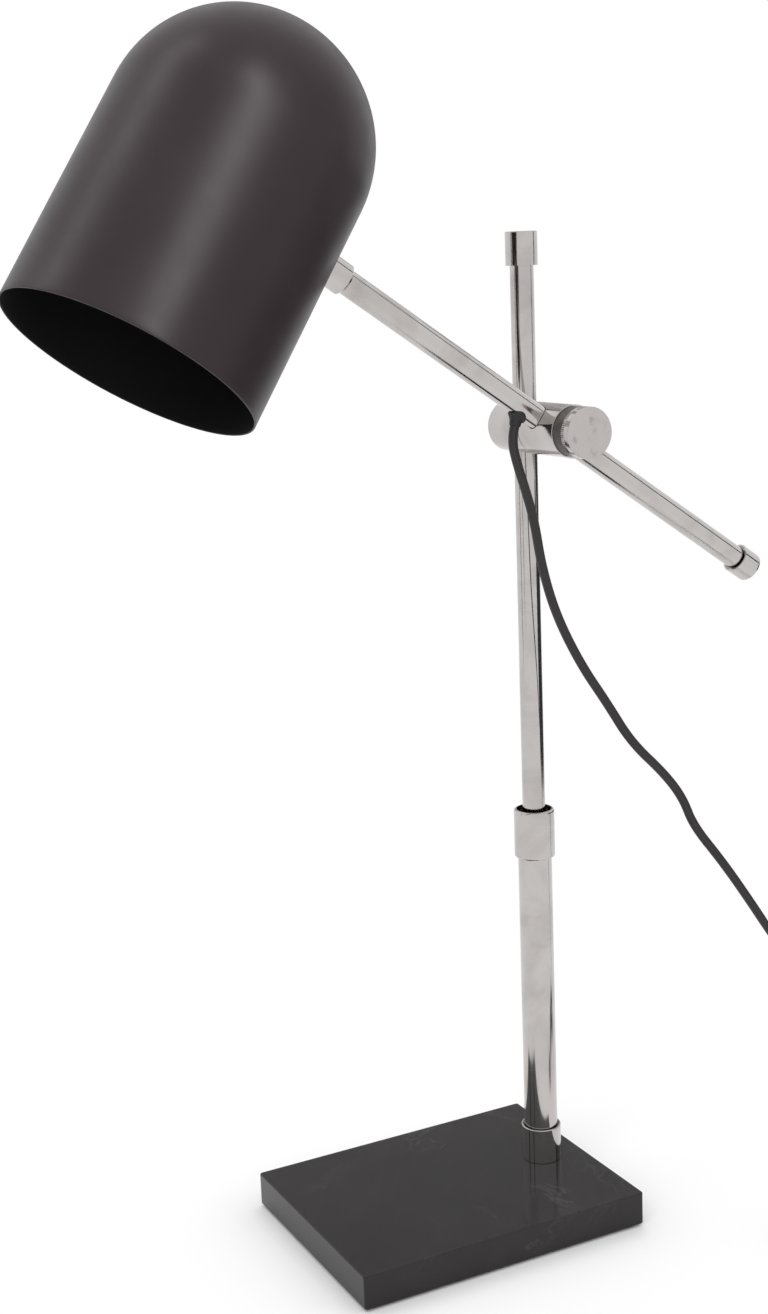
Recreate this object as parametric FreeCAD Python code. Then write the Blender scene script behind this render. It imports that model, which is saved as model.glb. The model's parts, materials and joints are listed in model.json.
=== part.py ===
"""Counterweight balance desk lamp, built piece by piece in millimetres.

The origin is the centre of the felt's underside, +Z is up, +X runs along the base towards the
post, and -Y is the side of the clamp knob. The arm leans, with the shade at its upper end.
"""

import FreeCAD, Part
import math
import os

V = FreeCAD.Vector
UP = V(0, 0, 1)

# ---- Clearances ---------------------------------------------------------------------------------
FIXED_GAP = 0.03        # radial gap of two round pieces that are fixed to each other
RUNNING_GAP = 0.06      # radial gap of a shaft that turns or slides in its bore
END_GAP = 0.1           # play along the axis of a captured ring or sleeve
SEAT_GAP = 0.3          # gap between pieces that press on each other when locked

# ---- Base ---------------------------------------------------------------------------------------
BASE_LENGTH = 175.0
BASE_WIDTH = 135.0
STONE_THICKNESS = 19.0
STONE_CORNER = 1.6      # rounding of the four upright edges
STONE_EDGE = 0.9        # rounding of the edges above and below
FELT_THICKNESS = 1.5
FELT_INSET = 2.5
FELT_CORNER = 4.0
POST_X = 63.0           # the post stands this far from the middle of the base
POCKET_RADIUS = 14.0    # pocket for the nut, in the stone's underside
POCKET_DEPTH = 11.0

# ---- Threaded rod and what it holds ---------------------------------------------------------------
ROD_RADIUS = 5.0
ROD_HOLE_GAP = 0.4
ROD_PAST_NUT = 0.6
WASHER_RADIUS = 12.0
WASHER_THICKNESS = 1.6
NUT_FLATS = 17.0
NUT_HEIGHT = 8.0
PLUG_LENGTH = 20.0      # threaded plug in the foot of the lower tube
ROD_IN_PLUG = 17.0

# ---- Post -----------------------------------------------------------------------------------------
LOWER_RADIUS = 9.5
LOWER_WALL = 1.5
UPPER_RADIUS = 6.35     # half-inch tube, used for the arm too
UPPER_WALL = 1.2
FOOT_COLLAR_RADIUS = 11.3
FOOT_COLLAR_HEIGHT = 20.5
FOOT_COLLAR_FLOOR = 2.0
FOOT_RECESS_DEPTH = 4.0
FOOT_RECESS_WALL = 0.9
MID_COLLAR_Z = 203.5
MID_COLLAR_HEIGHT = 27.7
MID_COLLAR_RADIUS = 11.4
MID_COLLAR_ROUND = 1.2
MID_COLLAR_FLOOR = 3.5
MID_SOCKET_DEPTH = 15.5
MID_RECESS_WALL = 1.6
MID_BUSH_LENGTH = 20.0
PIN_RADIUS = 1.5        # cross pin through the tubes, hidden by the middle collar
PIN_INSET = 0.3
PIN_BELOW_TUBE_TOP = 7.0
POST_TOP = 547.3
CAP_LENGTH = 17.7
CAP_RADIUS = 8.6
CAP_END_THICKNESS = 3.0
CAP_ROUND = 0.7
CAP_MOUTH_DEPTH = 2.0   # shallow recess round the tube at the mouth of each cap
CAP_MOUTH_WALL = 0.8

# ---- Clamp ----------------------------------------------------------------------------------------
HUB_Z = 444.7
HUB_RADIUS = 13.9
HUB_ROUND = 0.8
HUB_BEHIND = 16.4       # the hub's rear end behind the post's axis
HUB_SEAM = 14.6         # the seam of the two halves in front of the post's axis
TILT_WASHER_THICKNESS = 0.5
TILT_WASHER_INSET = 0.5
ARM_FORWARD = 29.1      # the arm's axis in front of the post's axis
HUB_FRONT = 48.25
LINER_WALL = 1.1        # split sleeves that line the two cross bores
LINER_HALF_LENGTH = 9.9
LINER_SLOT = 1.2
LIP_GAP = 0.35          # gap between a tube and the narrow mouths of its bore
SPIGOT_RADIUS = 8.0
SPIGOT_LENGTH = 5.3
SPIGOT_END_GAP = 0.5
GROOVE_SETBACK = 2.7    # from the seam to the groove of the retaining ring
GROOVE_WIDTH = 1.3
GROOVE_DEPTH = 1.0
RETAINER_THICKNESS = 1.1
RETAINER_WALL = 1.7
RETAINER_GAP = 3.0
THRUST_PIN_RADIUS = 4.0
PAD_RADIUS = 4.9
PAD_THICKNESS = 3.9
PAD_HOLE_RADIUS = 2.6
PAD_HOLE_DEPTH = 2.0
SCREW_RADIUS = 4.0
SCREW_PITCH = 1.25
KNOB_TURNS = 0.5        # turns that loosen the clamp
SPACER_RADIUS = 13.0
SPACER_LENGTH = 7.75
KNOB_RADIUS = 13.45
KNOB_LENGTH = 6.6
KNOB_ROUND = 0.35
KNOB_SCREW_DEPTH = 4.2
KNURL_WIDTH = 2.6
KNURL_DEPTH = 0.3
KNURL_TEETH = 84

# ---- Arm ------------------------------------------------------------------------------------------
ARM_SLOPE = 34.2        # degrees, shade end up
ARM_ROLL = 6.0          # degrees, turns the shade's mouth towards the knob side
ARM_TAIL = 155.0        # from the hub's axis to the end of the weighted cap
TAIL_CAP_LENGTH = 12.3
TAIL_CAP_RADIUS = 8.35
TAIL_CAP_END = 2.6
TAIL_CAP_ROUND = 1.5
WEIGHT_LENGTH = 120.0
ARM_COLLAR_START = 143.4
ARM_COLLAR_RADIUS = 8.1
ARM_COLLAR_FLOOR = 4.0
ARM_COLLAR_CHAMFER = 1.4
ARM_COLLAR_WALL = 1.0
ARM_TUBE_PAST_FLOOR = 3.0
GROMMET_AT = 24.0       # from the hub's axis, towards the shade
GROMMET_HOLE_RADIUS = 4.0
GROMMET_FLANGE_RADIUS = 5.5
GROMMET_FLANGE_HEIGHT = 2.0
GROMMET_INSIDE = 0.3
GROMMET_NOSE_RADIUS = 3.3
GROMMET_NOSE_LENGTH = 5.0

# ---- Shade ----------------------------------------------------------------------------------------
SHADE_RADIUS = 65.0
SHADE_WALL = 1.0
SHADE_SKIRT = 117.8     # from the spring of the dome to the rim
SHADE_AXIS_AT = 222.3   # the shade's axis along the arm, from the hub's axis
ARM_BELOW_SPRING = 23.2  # the arm meets the wall this far below the spring of the dome

# ---- Nipple, bracket and lampholder -----------------------------------------------------------------
NIPPLE_RADIUS = 5.0
NIPPLE_BORE_RADIUS = 3.5
NIPPLE_IN_ARM = 14.0
NIPPLE_PAST_NUT = 1.7
LOCK_NUT_FLATS = 14.0
LOCK_NUT_HEIGHT = 3.0
SADDLE_RADIUS = 8.0
SADDLE_THICKNESS = 2.5
BRACKET_WIDTH = 14.0
BRACKET_THICKNESS = 1.5
BRACKET_PAST_HOLE = 9.0
BRACKET_BEND = 2.0
HOLDER_TOP = 14.0       # the cross leg of the bracket lies this far above the spring of the dome
HOLDER_RADIUS = 13.5
HOLDER_WALL = 1.5
HOLDER_CAP_HEIGHT = 12.5
HOLDER_CAP_NECK = 8.0
HOLDER_LENGTH = 28.0
HOLDER_LIP_RADIUS = 8.4
HOLDER_LIP = 1.5
HOLDER_NIPPLE_ABOVE = 6.0
HOLDER_NIPPLE_BELOW = 5.0
CORE_START = 1.0
CORE_THICKNESS = 8.0
SHELL_RADIUS = 7.75     # threaded shell of the lampholder, outside
SHELL_WALL = 0.4
SHELL_LENGTH = 17.0
CONTACT_LENGTH = 8.0
CONTACT_WIDTH = 4.0
CONTACT_THICKNESS = 0.4
CONTACT_LIFT = 1.4
BULB_BASE_RADIUS = 6.9
BULB_BASE_START = 11.2
BULB_TIP_RADIUS = 2.6
BULB_TIP_HEIGHT = 0.9
BULB_RADIUS = 22.5
BULB_LENGTH = 58.0      # glass, from the lampholder's mouth
BULB_NECK_RADIUS = 6.3
BULB_NECK_LENGTH = 7.0
GLASS_THICKNESS = 0.8

# ---- Cord -----------------------------------------------------------------------------------------
CORD_DIAMETER = 5.0
LEAD_DIAMETER = 3.4     # the two cores without the sheath, inside the lamp
CORNER_SHARE = 0.45     # share of the shorter run that a corner of a cord's route may use
COIL_MIDDLE = (312.0, -92.0)
COIL_OUTER = 37.1
COIL_STEP = 5.45        # from one turn to the next, across
COIL_LAYER = 5.45       # from one layer to the next, up, which ends at the switch's middle
COIL_TURNS = 6.25
COIL_CLIMB = 0.5        # share of a turn in which the cord climbs to the second layer
COIL_END_RUN = 5.0
TAIL_RUN = 26.0         # cord between coil and switch, and between switch and plug
FLOOR_GAP = 0.05
CORD_REST_Z = CORD_DIAMETER / 2 + FLOOR_GAP

# Free stretch from the grommet's nose to the coil: hand-set corners of its route.
DROP_ROUTE = [
    (36.0, -30.4, 441.4),
    (37.9, -31.0, 430.6),
    (43.0, -32.0, 413.8),
    (47.1, -33.0, 397.7),
    (50.2, -34.0, 374.2),
    (57.6, -35.5, 347.3),
    (71.9, -37.0, 318.5),
    (87.2, -38.5, 295.7),
    (101.9, -39.5, 271.8),
    (123.0, -40.5, 251.1),
    (135.3, -41.2, 234.8),
    (141.5, -42.0, 218.2),
    (160.9, -43.0, 193.8),
    (178.6, -44.0, 168.6),
    (196.1, -45.0, 142.3),
    (212.5, -45.0, 121.0),
    (236.0, -44.0, 95.5),
    (263.0, -42.5, 68.0),
    (290.0, -41.0, 43.5),
    (313.0, -41.5, 25.5),
    (331.0, -46.0, 13.0),
    (342.5, -56.0, 5.5),
]
DROP_LAST_RUN = 16.0

# Inner lead between the two threaded nipples: (below the arm's axis, towards the knob side, along
# the arm from the shade's axis) in the arm's own frame.
LEAD_LOOP = [(0.0, 0.0, -44.3), (-20.0, 12.0, -32.3), (-50.0, 12.0, -32.3), (-66.0, 6.0, -16.3)]
LEAD_TURN_IN = 60.0
LEAD_END = 33.0

# ---- Switch and plug --------------------------------------------------------------------------------
SWITCH_LENGTH = 58.0
SWITCH_WIDTH = 25.0
SWITCH_HEIGHT = 16.0
SWITCH_END_WIDTH = 11.0
SWITCH_TAPER = 12.0
SWITCH_EDGE = 1.5
SWITCH_END_ROUND = 1.0
SWITCH_SHOULDER_ROUND = 4.0
SWITCH_WALL = 1.8
ROCKER_LENGTH = 18.0
ROCKER_WIDTH = 10.0
ROCKER_GAP = 0.4
ROCKER_RISE = 2.2
ROCKER_DEPTH = 3.6
ROCKER_TILT = 8.0
ROCKER_PIVOT_RADIUS = 0.6
ROCKER_EDGE = 0.5
SWITCH_SCREW_RADIUS = 1.5
SWITCH_SCREW_HEAD = 2.8
SWITCH_SCREW_AT = 19.0
PLUG_BODY_LENGTH = 34.0
PLUG_WIDTH = 35.0
PLUG_HEIGHT = 14.0
PLUG_EDGE = 2.0
PLUG_END_WIDTH = 7.0
PLUG_NECK_WIDTH = 9.0
PLUG_NECK = 0.41 * PLUG_BODY_LENGTH   # length of the neck round the cord
PLUG_SHOULDER = 0.18 * PLUG_BODY_LENGTH
PLUG_FACE_TAPER = 0.23 * PLUG_BODY_LENGTH
PLUG_END_ROUND = 1.0
PLUG_BEND_ROUND = 4.0
PLUG_PIN_RADIUS = 2.0
PLUG_PIN_LENGTH = 19.0
PLUG_PIN_SPACING = 18.6
PLUG_PIN_IN_BODY = 8.0
PLUG_FACE_WIDTH = 26.0

# ---- Places worked out from the sizes ---------------------------------------------------------------
STONE_BOTTOM = FELT_THICKNESS
STONE_TOP = STONE_BOTTOM + STONE_THICKNESS
POCKET_TOP = STONE_BOTTOM + POCKET_DEPTH
NUT_TOP = POCKET_TOP - WASHER_THICKNESS
LOWER_START = STONE_TOP + FOOT_COLLAR_FLOOR
LOWER_BORE = LOWER_RADIUS - LOWER_WALL
UPPER_BORE = UPPER_RADIUS - UPPER_WALL
LOWER_END = MID_COLLAR_Z + MID_SOCKET_DEPTH
UPPER_START = LOWER_END - MID_BUSH_LENGTH
CAP_START = POST_TOP - CAP_LENGTH
UPPER_END = POST_TOP - CAP_END_THICKNESS
LINER_RADIUS = UPPER_RADIUS + RUNNING_GAP + LINER_WALL
LINER_BORE = LINER_RADIUS + RUNNING_GAP
LINER_POCKET = LINER_HALF_LENGTH + END_GAP
LIP_RADIUS = UPPER_RADIUS + LIP_GAP
FRONT_START = HUB_SEAM + TILT_WASHER_THICKNESS
KNOB_START = HUB_FRONT + SPACER_LENGTH
KNOB_END = KNOB_START + KNOB_LENGTH
PAD_START = ARM_FORWARD + LINER_RADIUS + SEAT_GAP
PAD_END = PAD_START + PAD_THICKNESS
PAD_TRAVEL = KNOB_TURNS * SCREW_PITCH
SHADE_BORE = SHADE_RADIUS - SHADE_WALL
WALL_OUTSIDE = SHADE_AXIS_AT - SHADE_RADIUS
WALL_INSIDE = SHADE_AXIS_AT - SHADE_BORE
LEG_START = WALL_INSIDE + SADDLE_THICKNESS
LEG_END = LEG_START + BRACKET_THICKNESS
ARM_TUBE_END = ARM_COLLAR_START + ARM_COLLAR_FLOOR + ARM_TUBE_PAST_FLOOR
ARM_TUBE_START = TAIL_CAP_END - ARM_TAIL
NIPPLE_END = LEG_END + LOCK_NUT_HEIGHT + NIPPLE_PAST_NUT
HOLDER_START = BRACKET_THICKNESS - HOLDER_TOP


# ---- Frames -----------------------------------------------------------------------------------------
def frame(origin, x_axis, z_axis):
    """Placement whose X and Z point along two directions at right angles."""
    y_axis = z_axis.cross(x_axis)
    matrix = FreeCAD.Matrix(
        x_axis.x, y_axis.x, z_axis.x, origin.x,
        x_axis.y, y_axis.y, z_axis.y, origin.y,
        x_axis.z, y_axis.z, z_axis.z, origin.z,
        0, 0, 0, 1,
    )
    return FreeCAD.Placement(matrix)


slope = math.radians(ARM_SLOPE)
along_arm = V(-math.cos(slope), 0, math.sin(slope))
below_arm = V(-math.sin(slope), 0, -math.cos(slope))
POST = FreeCAD.Placement(V(POST_X, 0, 0), FreeCAD.Rotation())
# Hub frame: Z runs forward along the hub's axis, towards the knob.
HUB = frame(V(POST_X, 0, HUB_Z), V(1, 0, 0), V(0, -1, 0))
# Arm frame: Z runs up the arm to the shade, X points down to the shade's mouth.
ARM = frame(V(POST_X, -ARM_FORWARD, HUB_Z), below_arm, along_arm) * FreeCAD.Placement(
    V(), FreeCAD.Rotation(UP, ARM_ROLL)
)
# Shade frame: origin at the dome's centre, Z along the shade's axis to its mouth, X to the arm.
SHADE = ARM * frame(V(-ARM_BELOW_SPRING, 0, SHADE_AXIS_AT), V(0, 0, -1), V(1, 0, 0))


def placed(shape, place):
    """Copy of a shape built in a local frame, put in that frame's place."""
    moved = shape.copy()
    moved.Placement = place * shape.Placement
    return moved


# ---- Shapes -----------------------------------------------------------------------------------------
def tangent_arc(before, corner, after, radius):
    """Start, middle and end of the arc that rounds a corner of a path."""
    back = (before - corner).normalize()
    ahead = (after - corner).normalize()
    half = back.getAngle(ahead) / 2
    reach = radius / math.tan(half)
    middle = (back + ahead).normalize() * (radius / math.sin(half) - radius)
    return corner + back * reach, corner + middle, corner + ahead * reach


def path_edges(points, radii, closed):
    """Lines and tangent arcs through a list of points, with a radius of 0 for a sharp corner."""
    count = len(points)
    arcs = []
    for i, (point, radius) in enumerate(zip(points, radii)):
        inside = closed or 0 < i < count - 1
        if radius and inside:
            arcs.append(tangent_arc(points[i - 1], point, points[(i + 1) % count], radius))
        else:
            arcs.append((point, None, point))
    edges = []
    for i, (start, middle, end) in enumerate(arcs):
        if middle is not None:
            edges.append(Part.Arc(start, middle, end).toShape())
        following = arcs[(i + 1) % count][0]
        if (closed or i < count - 1) and end.distanceToPoint(following) > 1e-6:
            edges.append(Part.LineSegment(end, following).toShape())
    return edges


def turned(outline):
    """Solid turned about Z from (radius, height[, rounding]) points."""
    points = [V(corner[0], 0, corner[1]) for corner in outline]
    radii = [corner[2] if len(corner) > 2 else 0 for corner in outline]
    face = Part.Face(Part.Wire(path_edges(points, radii, True)))
    return face.revolve(V(), UP, 360)


def cylinder(radius, start, end):
    return Part.makeCylinder(radius, end - start, V(0, 0, start))


def ring(outer, inner, start, end):
    return cylinder(outer, start, end).cut(cylinder(inner, start - 1, end + 1))


def prism(outline, start, end):
    """Upright solid over (x, y[, rounding]) corners."""
    points = [V(corner[0], corner[1], start) for corner in outline]
    radii = [corner[2] if len(corner) > 2 else 0 for corner in outline]
    return Part.Face(Part.Wire(path_edges(points, radii, True))).extrude(V(0, 0, end - start))


def hexagon(flats, start, end):
    corner = flats / math.sqrt(3)
    turns = [math.radians(60 * k) for k in range(6)]
    return prism([(corner * math.cos(t), corner * math.sin(t)) for t in turns], start, end)


def block(x0, x1, y0, y1, z0, z1):
    return Part.makeBox(x1 - x0, y1 - y0, z1 - z0, V(x0, y0, z0))


def rounded_block(length, width, start, end, corner):
    x, y = length / 2, width / 2
    corners = [(x, y, corner), (-x, y, corner), (-x, -y, corner), (x, -y, corner)]
    return prism(corners, start, end)


def flat_edges(shape, height):
    """Edges of a shape that lie at one height."""
    return [e for e in shape.Edges if all(abs(v.Z - height) < 1e-6 for v in e.Vertexes)]


def cap_cup(radius, tube_radius, length, end_thickness, end_round):
    """Cap with its mouth at 0 and its closed end up, with a shallow recess round the mouth."""
    bore = tube_radius + FIXED_GAP
    recess = radius - CAP_MOUTH_WALL
    return turned([
        (0, length - end_thickness),
        (bore, length - end_thickness),
        (bore, CAP_MOUTH_DEPTH),
        (recess, CAP_MOUTH_DEPTH),
        (recess, 0),
        (radius, 0),
        (radius, length, end_round),
        (0, length),
    ])


def split_sleeve(outer, inner, start, end, slot):
    """Ring with a slot cut through its wall on the side of +X."""
    cutter = block(0, outer + 1, -slot / 2, slot / 2, start - 1, end + 1)
    return ring(outer, inner, start, end).cut(cutter)


def swept(edges, diameter):
    """Round tube along edges that join smoothly."""
    wire = Part.Wire(edges)
    start = edges[0].valueAt(edges[0].FirstParameter)
    ahead = edges[0].tangentAt(edges[0].FirstParameter)
    profile = Part.Wire(Part.makeCircle(diameter / 2, start, ahead))
    tube = wire.makePipeShell([profile], True, False)
    if tube.Volume < 0:
        tube.reverse()
    return tube


def corner_radii(points):
    """Largest even radius for each corner of a cord's route."""
    radii = [0.0]
    for before, corner, after in zip(points, points[1:], points[2:]):
        turn = math.pi - (before - corner).getAngle(after - corner)
        shorter = min(before.distanceToPoint(corner), corner.distanceToPoint(after))
        radii.append(CORNER_SHARE * shorter / math.tan(turn / 2))
    return radii + [0.0]


def cord_along(name, points, diameter):
    """Round cord along a route, with its radii and its volume against section times length."""
    radii = corner_radii(points)
    edges = path_edges(points, radii, False)
    tube = swept(edges, diameter)
    length = sum(edge.Length for edge in edges)
    share = tube.Volume / (math.pi * diameter**2 / 4 * length)
    shown = ", ".join(f"{radius:.0f}" for radius in radii[1:-1])
    print(f"{name}: {length:.1f} mm, volume share {share:.4f}, radii {shown}")
    return tube, length


def arc_from(start, corner, end):
    """Arc that leaves start towards corner and arrives at end, both as far from corner."""
    half_chord = start.distanceToPoint(end) / 2
    middle = (start + end) / 2
    lift = corner - middle
    if lift.Length < 1e-6:
        return Part.LineSegment(start, end).toShape()
    lean = math.acos(min(1.0, half_chord / start.distanceToPoint(corner)))
    top = middle + lift.normalize() * (half_chord * math.tan(lean / 2))
    return Part.Arc(start, top, end).toShape()


def biarc(start, leave, end, arrive):
    """Two arcs from start to end that keep the direction at both."""
    chord = end - start
    both = leave + arrive
    bend = 2 * (1 - leave.dot(arrive))
    if bend < 1e-9:
        reach = chord.dot(chord) / (4 * chord.dot(arrive))
    else:
        along = chord.dot(both)
        reach = (math.sqrt(along**2 + bend * chord.dot(chord)) - along) / bend
    first = start + leave * reach
    second = end - arrive * reach
    joint = (first + second) / 2
    return [arc_from(start, first, joint), arc_from(joint, second, end)]


# ---- Base and post ----------------------------------------------------------------------------------
def felt_pad():
    length, width = BASE_LENGTH - 2 * FELT_INSET, BASE_WIDTH - 2 * FELT_INSET
    return rounded_block(length, width, 0, FELT_THICKNESS, FELT_CORNER)


def stone_base():
    stone = rounded_block(BASE_LENGTH, BASE_WIDTH, STONE_BOTTOM, STONE_TOP, STONE_CORNER)
    rims = flat_edges(stone, STONE_TOP) + flat_edges(stone, STONE_BOTTOM)
    stone = stone.makeFillet(STONE_EDGE, rims)
    pocket = placed(cylinder(POCKET_RADIUS, STONE_BOTTOM - 1, POCKET_TOP), POST)
    hole = placed(cylinder(ROD_RADIUS + ROD_HOLE_GAP, 0, STONE_TOP + 1), POST)
    return stone.cut(pocket).cut(hole)


def base_rod():
    start = NUT_TOP - NUT_HEIGHT - ROD_PAST_NUT
    return placed(cylinder(ROD_RADIUS, start, LOWER_START + ROD_IN_PLUG), POST)


def base_nut():
    nut = hexagon(NUT_FLATS, NUT_TOP - NUT_HEIGHT, NUT_TOP)
    return placed(nut.cut(cylinder(ROD_RADIUS + FIXED_GAP, 0, STONE_TOP)), POST)


def base_washer():
    return placed(ring(WASHER_RADIUS, ROD_RADIUS + ROD_HOLE_GAP, NUT_TOP, POCKET_TOP), POST)


def threaded_plug():
    outer = LOWER_BORE - FIXED_GAP
    inner = ROD_RADIUS + FIXED_GAP
    return placed(ring(outer, inner, LOWER_START, LOWER_START + PLUG_LENGTH), POST)


def foot_collar():
    top = STONE_TOP + FOOT_COLLAR_HEIGHT
    bore = LOWER_RADIUS + FIXED_GAP
    recess = FOOT_COLLAR_RADIUS - FOOT_RECESS_WALL
    hole = ROD_RADIUS + ROD_HOLE_GAP
    return placed(turned([
        (hole, STONE_TOP),
        (FOOT_COLLAR_RADIUS, STONE_TOP, FOOT_RECESS_WALL / 3),
        (FOOT_COLLAR_RADIUS, top, FOOT_RECESS_WALL / 3),
        (recess, top),
        (recess, top - FOOT_RECESS_DEPTH),
        (bore, top - FOOT_RECESS_DEPTH),
        (bore, LOWER_START),
        (hole, LOWER_START),
    ]), POST)


def cross_pin(radius, half_length):
    """Round bar across the post, as a pin or as the cutter of its hole."""
    height = LOWER_END - PIN_BELOW_TUBE_TOP
    return Part.makeCylinder(radius, 2 * half_length, V(-half_length, 0, height), V(1, 0, 0))


def pinned(shape):
    """A shape of the post with the cross pin's hole, in its place."""
    return placed(shape.cut(cross_pin(PIN_RADIUS + FIXED_GAP, MID_COLLAR_RADIUS)), POST)


def lower_tube():
    return pinned(ring(LOWER_RADIUS, LOWER_BORE, LOWER_START, LOWER_END))


def mid_bush():
    outer = LOWER_BORE - FIXED_GAP
    return pinned(ring(outer, UPPER_RADIUS + FIXED_GAP, UPPER_START, LOWER_END))


def tube_pin():
    return placed(cross_pin(PIN_RADIUS, LOWER_RADIUS - PIN_INSET), POST)


def mid_collar():
    top = MID_COLLAR_Z + MID_COLLAR_HEIGHT
    floor = LOWER_END + MID_COLLAR_FLOOR
    recess = MID_COLLAR_RADIUS - MID_RECESS_WALL
    hole = UPPER_RADIUS + FIXED_GAP
    bore = LOWER_RADIUS + FIXED_GAP
    return placed(turned([
        (hole, LOWER_END),
        (bore, LOWER_END),
        (bore, MID_COLLAR_Z),
        (MID_COLLAR_RADIUS, MID_COLLAR_Z, MID_COLLAR_ROUND),
        (MID_COLLAR_RADIUS, top, MID_COLLAR_ROUND),
        (recess, top),
        (recess, floor),
        (hole, floor),
    ]), POST)


def upper_tube():
    return pinned(ring(UPPER_RADIUS, UPPER_BORE, UPPER_START, UPPER_END))


def top_cap():
    cup = cap_cup(CAP_RADIUS, UPPER_RADIUS, CAP_LENGTH, CAP_END_THICKNESS, CAP_ROUND)
    return placed(cup, POST * FreeCAD.Placement(V(0, 0, CAP_START), FreeCAD.Rotation()))


# ---- Clamp ------------------------------------------------------------------------------------------
def cross_bore(place):
    """Cutter of a cross bore: a pocket for the liner and a narrower mouth at each end."""
    cutter = cylinder(LINER_BORE, -LINER_POCKET, LINER_POCKET)
    cutter = cutter.fuse(cylinder(LIP_RADIUS, -2 * HUB_RADIUS, 2 * HUB_RADIUS))
    return placed(cutter, place)


def liner():
    return split_sleeve(
        LINER_RADIUS, UPPER_RADIUS + RUNNING_GAP, -LINER_HALF_LENGTH, LINER_HALF_LENGTH, LINER_SLOT
    )


def at_hub_height():
    return POST * FreeCAD.Placement(V(0, 0, HUB_Z), FreeCAD.Rotation())


def post_liner():
    return placed(liner(), at_hub_height())


def rear_block():
    groove = HUB_SEAM + GROOVE_SETBACK
    neck = SPIGOT_RADIUS - GROOVE_DEPTH
    body = turned([
        (0, -HUB_BEHIND),
        (HUB_RADIUS, -HUB_BEHIND, HUB_ROUND),
        (HUB_RADIUS, HUB_SEAM, HUB_ROUND / 3),
        (SPIGOT_RADIUS, HUB_SEAM),
        (SPIGOT_RADIUS, groove),
        (neck, groove),
        (neck, groove + GROOVE_WIDTH),
        (SPIGOT_RADIUS, groove + GROOVE_WIDTH),
        (SPIGOT_RADIUS, HUB_SEAM + SPIGOT_LENGTH),
        (0, HUB_SEAM + SPIGOT_LENGTH),
    ])
    body = body.cut(cylinder(THRUST_PIN_RADIUS + FIXED_GAP, 0, HUB_FRONT))
    return placed(body, HUB).cut(cross_bore(at_hub_height()))


def tilt_washer():
    outer = HUB_RADIUS - TILT_WASHER_INSET
    return placed(ring(outer, SPIGOT_RADIUS + RUNNING_GAP, HUB_SEAM, FRONT_START), HUB)


def retaining_ring():
    inner = SPIGOT_RADIUS - GROOVE_DEPTH + RUNNING_GAP
    start = HUB_SEAM + GROOVE_SETBACK + END_GAP
    end = start + RETAINER_THICKNESS
    return placed(split_sleeve(inner + RETAINER_WALL, inner, start, end, RETAINER_GAP), HUB)


def thrust_pin():
    start = LINER_RADIUS + SEAT_GAP
    end = ARM_FORWARD - LINER_RADIUS - SEAT_GAP
    return placed(cylinder(THRUST_PIN_RADIUS, start, end), HUB)


def front_block():
    ring_radius = SPIGOT_RADIUS - GROOVE_DEPTH + 2 * RUNNING_GAP + RETAINER_WALL
    groove = HUB_SEAM + GROOVE_SETBACK
    body = turned([
        (0, FRONT_START),
        (HUB_RADIUS, FRONT_START, HUB_ROUND / 3),
        (HUB_RADIUS, HUB_FRONT, HUB_ROUND / 3),
        (0, HUB_FRONT),
    ])
    pocket_end = HUB_SEAM + SPIGOT_LENGTH + SPIGOT_END_GAP
    for radius, start, end in (
        (SPIGOT_RADIUS + RUNNING_GAP, HUB_SEAM, pocket_end),
        (ring_radius, groove, groove + GROOVE_WIDTH),
        (THRUST_PIN_RADIUS + SEAT_GAP, HUB_SEAM, ARM_FORWARD),
        (PAD_RADIUS + RUNNING_GAP, ARM_FORWARD, PAD_END + PAD_TRAVEL + SEAT_GAP),
        (SCREW_RADIUS + RUNNING_GAP, ARM_FORWARD, HUB_FRONT + 1),
    ):
        body = body.cut(cylinder(radius, start, end))
    return placed(body, HUB).cut(cross_bore(ARM))


def spacer_ring():
    inner = SCREW_RADIUS + LIP_GAP
    return placed(ring(SPACER_RADIUS, inner, HUB_FRONT, KNOB_START), HUB)


def clamp_pad():
    pad = cylinder(PAD_RADIUS, PAD_START, PAD_END)
    return placed(pad.cut(cylinder(PAD_HOLE_RADIUS, PAD_END - PAD_HOLE_DEPTH, PAD_END + 1)), HUB)


def clamp_screw():
    tip_radius = PAD_HOLE_RADIUS - RUNNING_GAP
    return placed(turned([
        (0, PAD_END - PAD_HOLE_DEPTH + END_GAP),
        (tip_radius, PAD_END - PAD_HOLE_DEPTH + END_GAP),
        (tip_radius, PAD_END),
        (SCREW_RADIUS, PAD_END),
        (SCREW_RADIUS, KNOB_START + KNOB_SCREW_DEPTH),
        (0, KNOB_START + KNOB_SCREW_DEPTH),
    ]), HUB)


def clamp_knob():
    knurl_end = KNOB_START + KNURL_WIDTH
    body = turned([
        (0, knurl_end),
        (KNOB_RADIUS, knurl_end),
        (KNOB_RADIUS, KNOB_END, KNOB_ROUND),
        (0, KNOB_END),
    ])
    outline = []
    for k in range(2 * KNURL_TEETH):
        turn = math.pi * k / KNURL_TEETH
        radius = KNOB_RADIUS - (k % 2) * KNURL_DEPTH
        outline.append((radius * math.cos(turn), radius * math.sin(turn)))
    body = body.fuse(prism(outline, KNOB_START, knurl_end))
    hole = cylinder(SCREW_RADIUS + FIXED_GAP, KNOB_START - 1, KNOB_START + KNOB_SCREW_DEPTH)
    return placed(body.cut(hole), HUB)


# ---- Arm --------------------------------------------------------------------------------------------
def arm_liner():
    return placed(liner(), ARM)


def arm_tube():
    tube = ring(UPPER_RADIUS, UPPER_BORE, ARM_TUBE_START, ARM_TUBE_END)
    hole = Part.makeCylinder(GROMMET_HOLE_RADIUS, UPPER_RADIUS + 1, V(0, 0, GROMMET_AT), V(1, 0, 0))
    return placed(tube.cut(hole), ARM)


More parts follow.
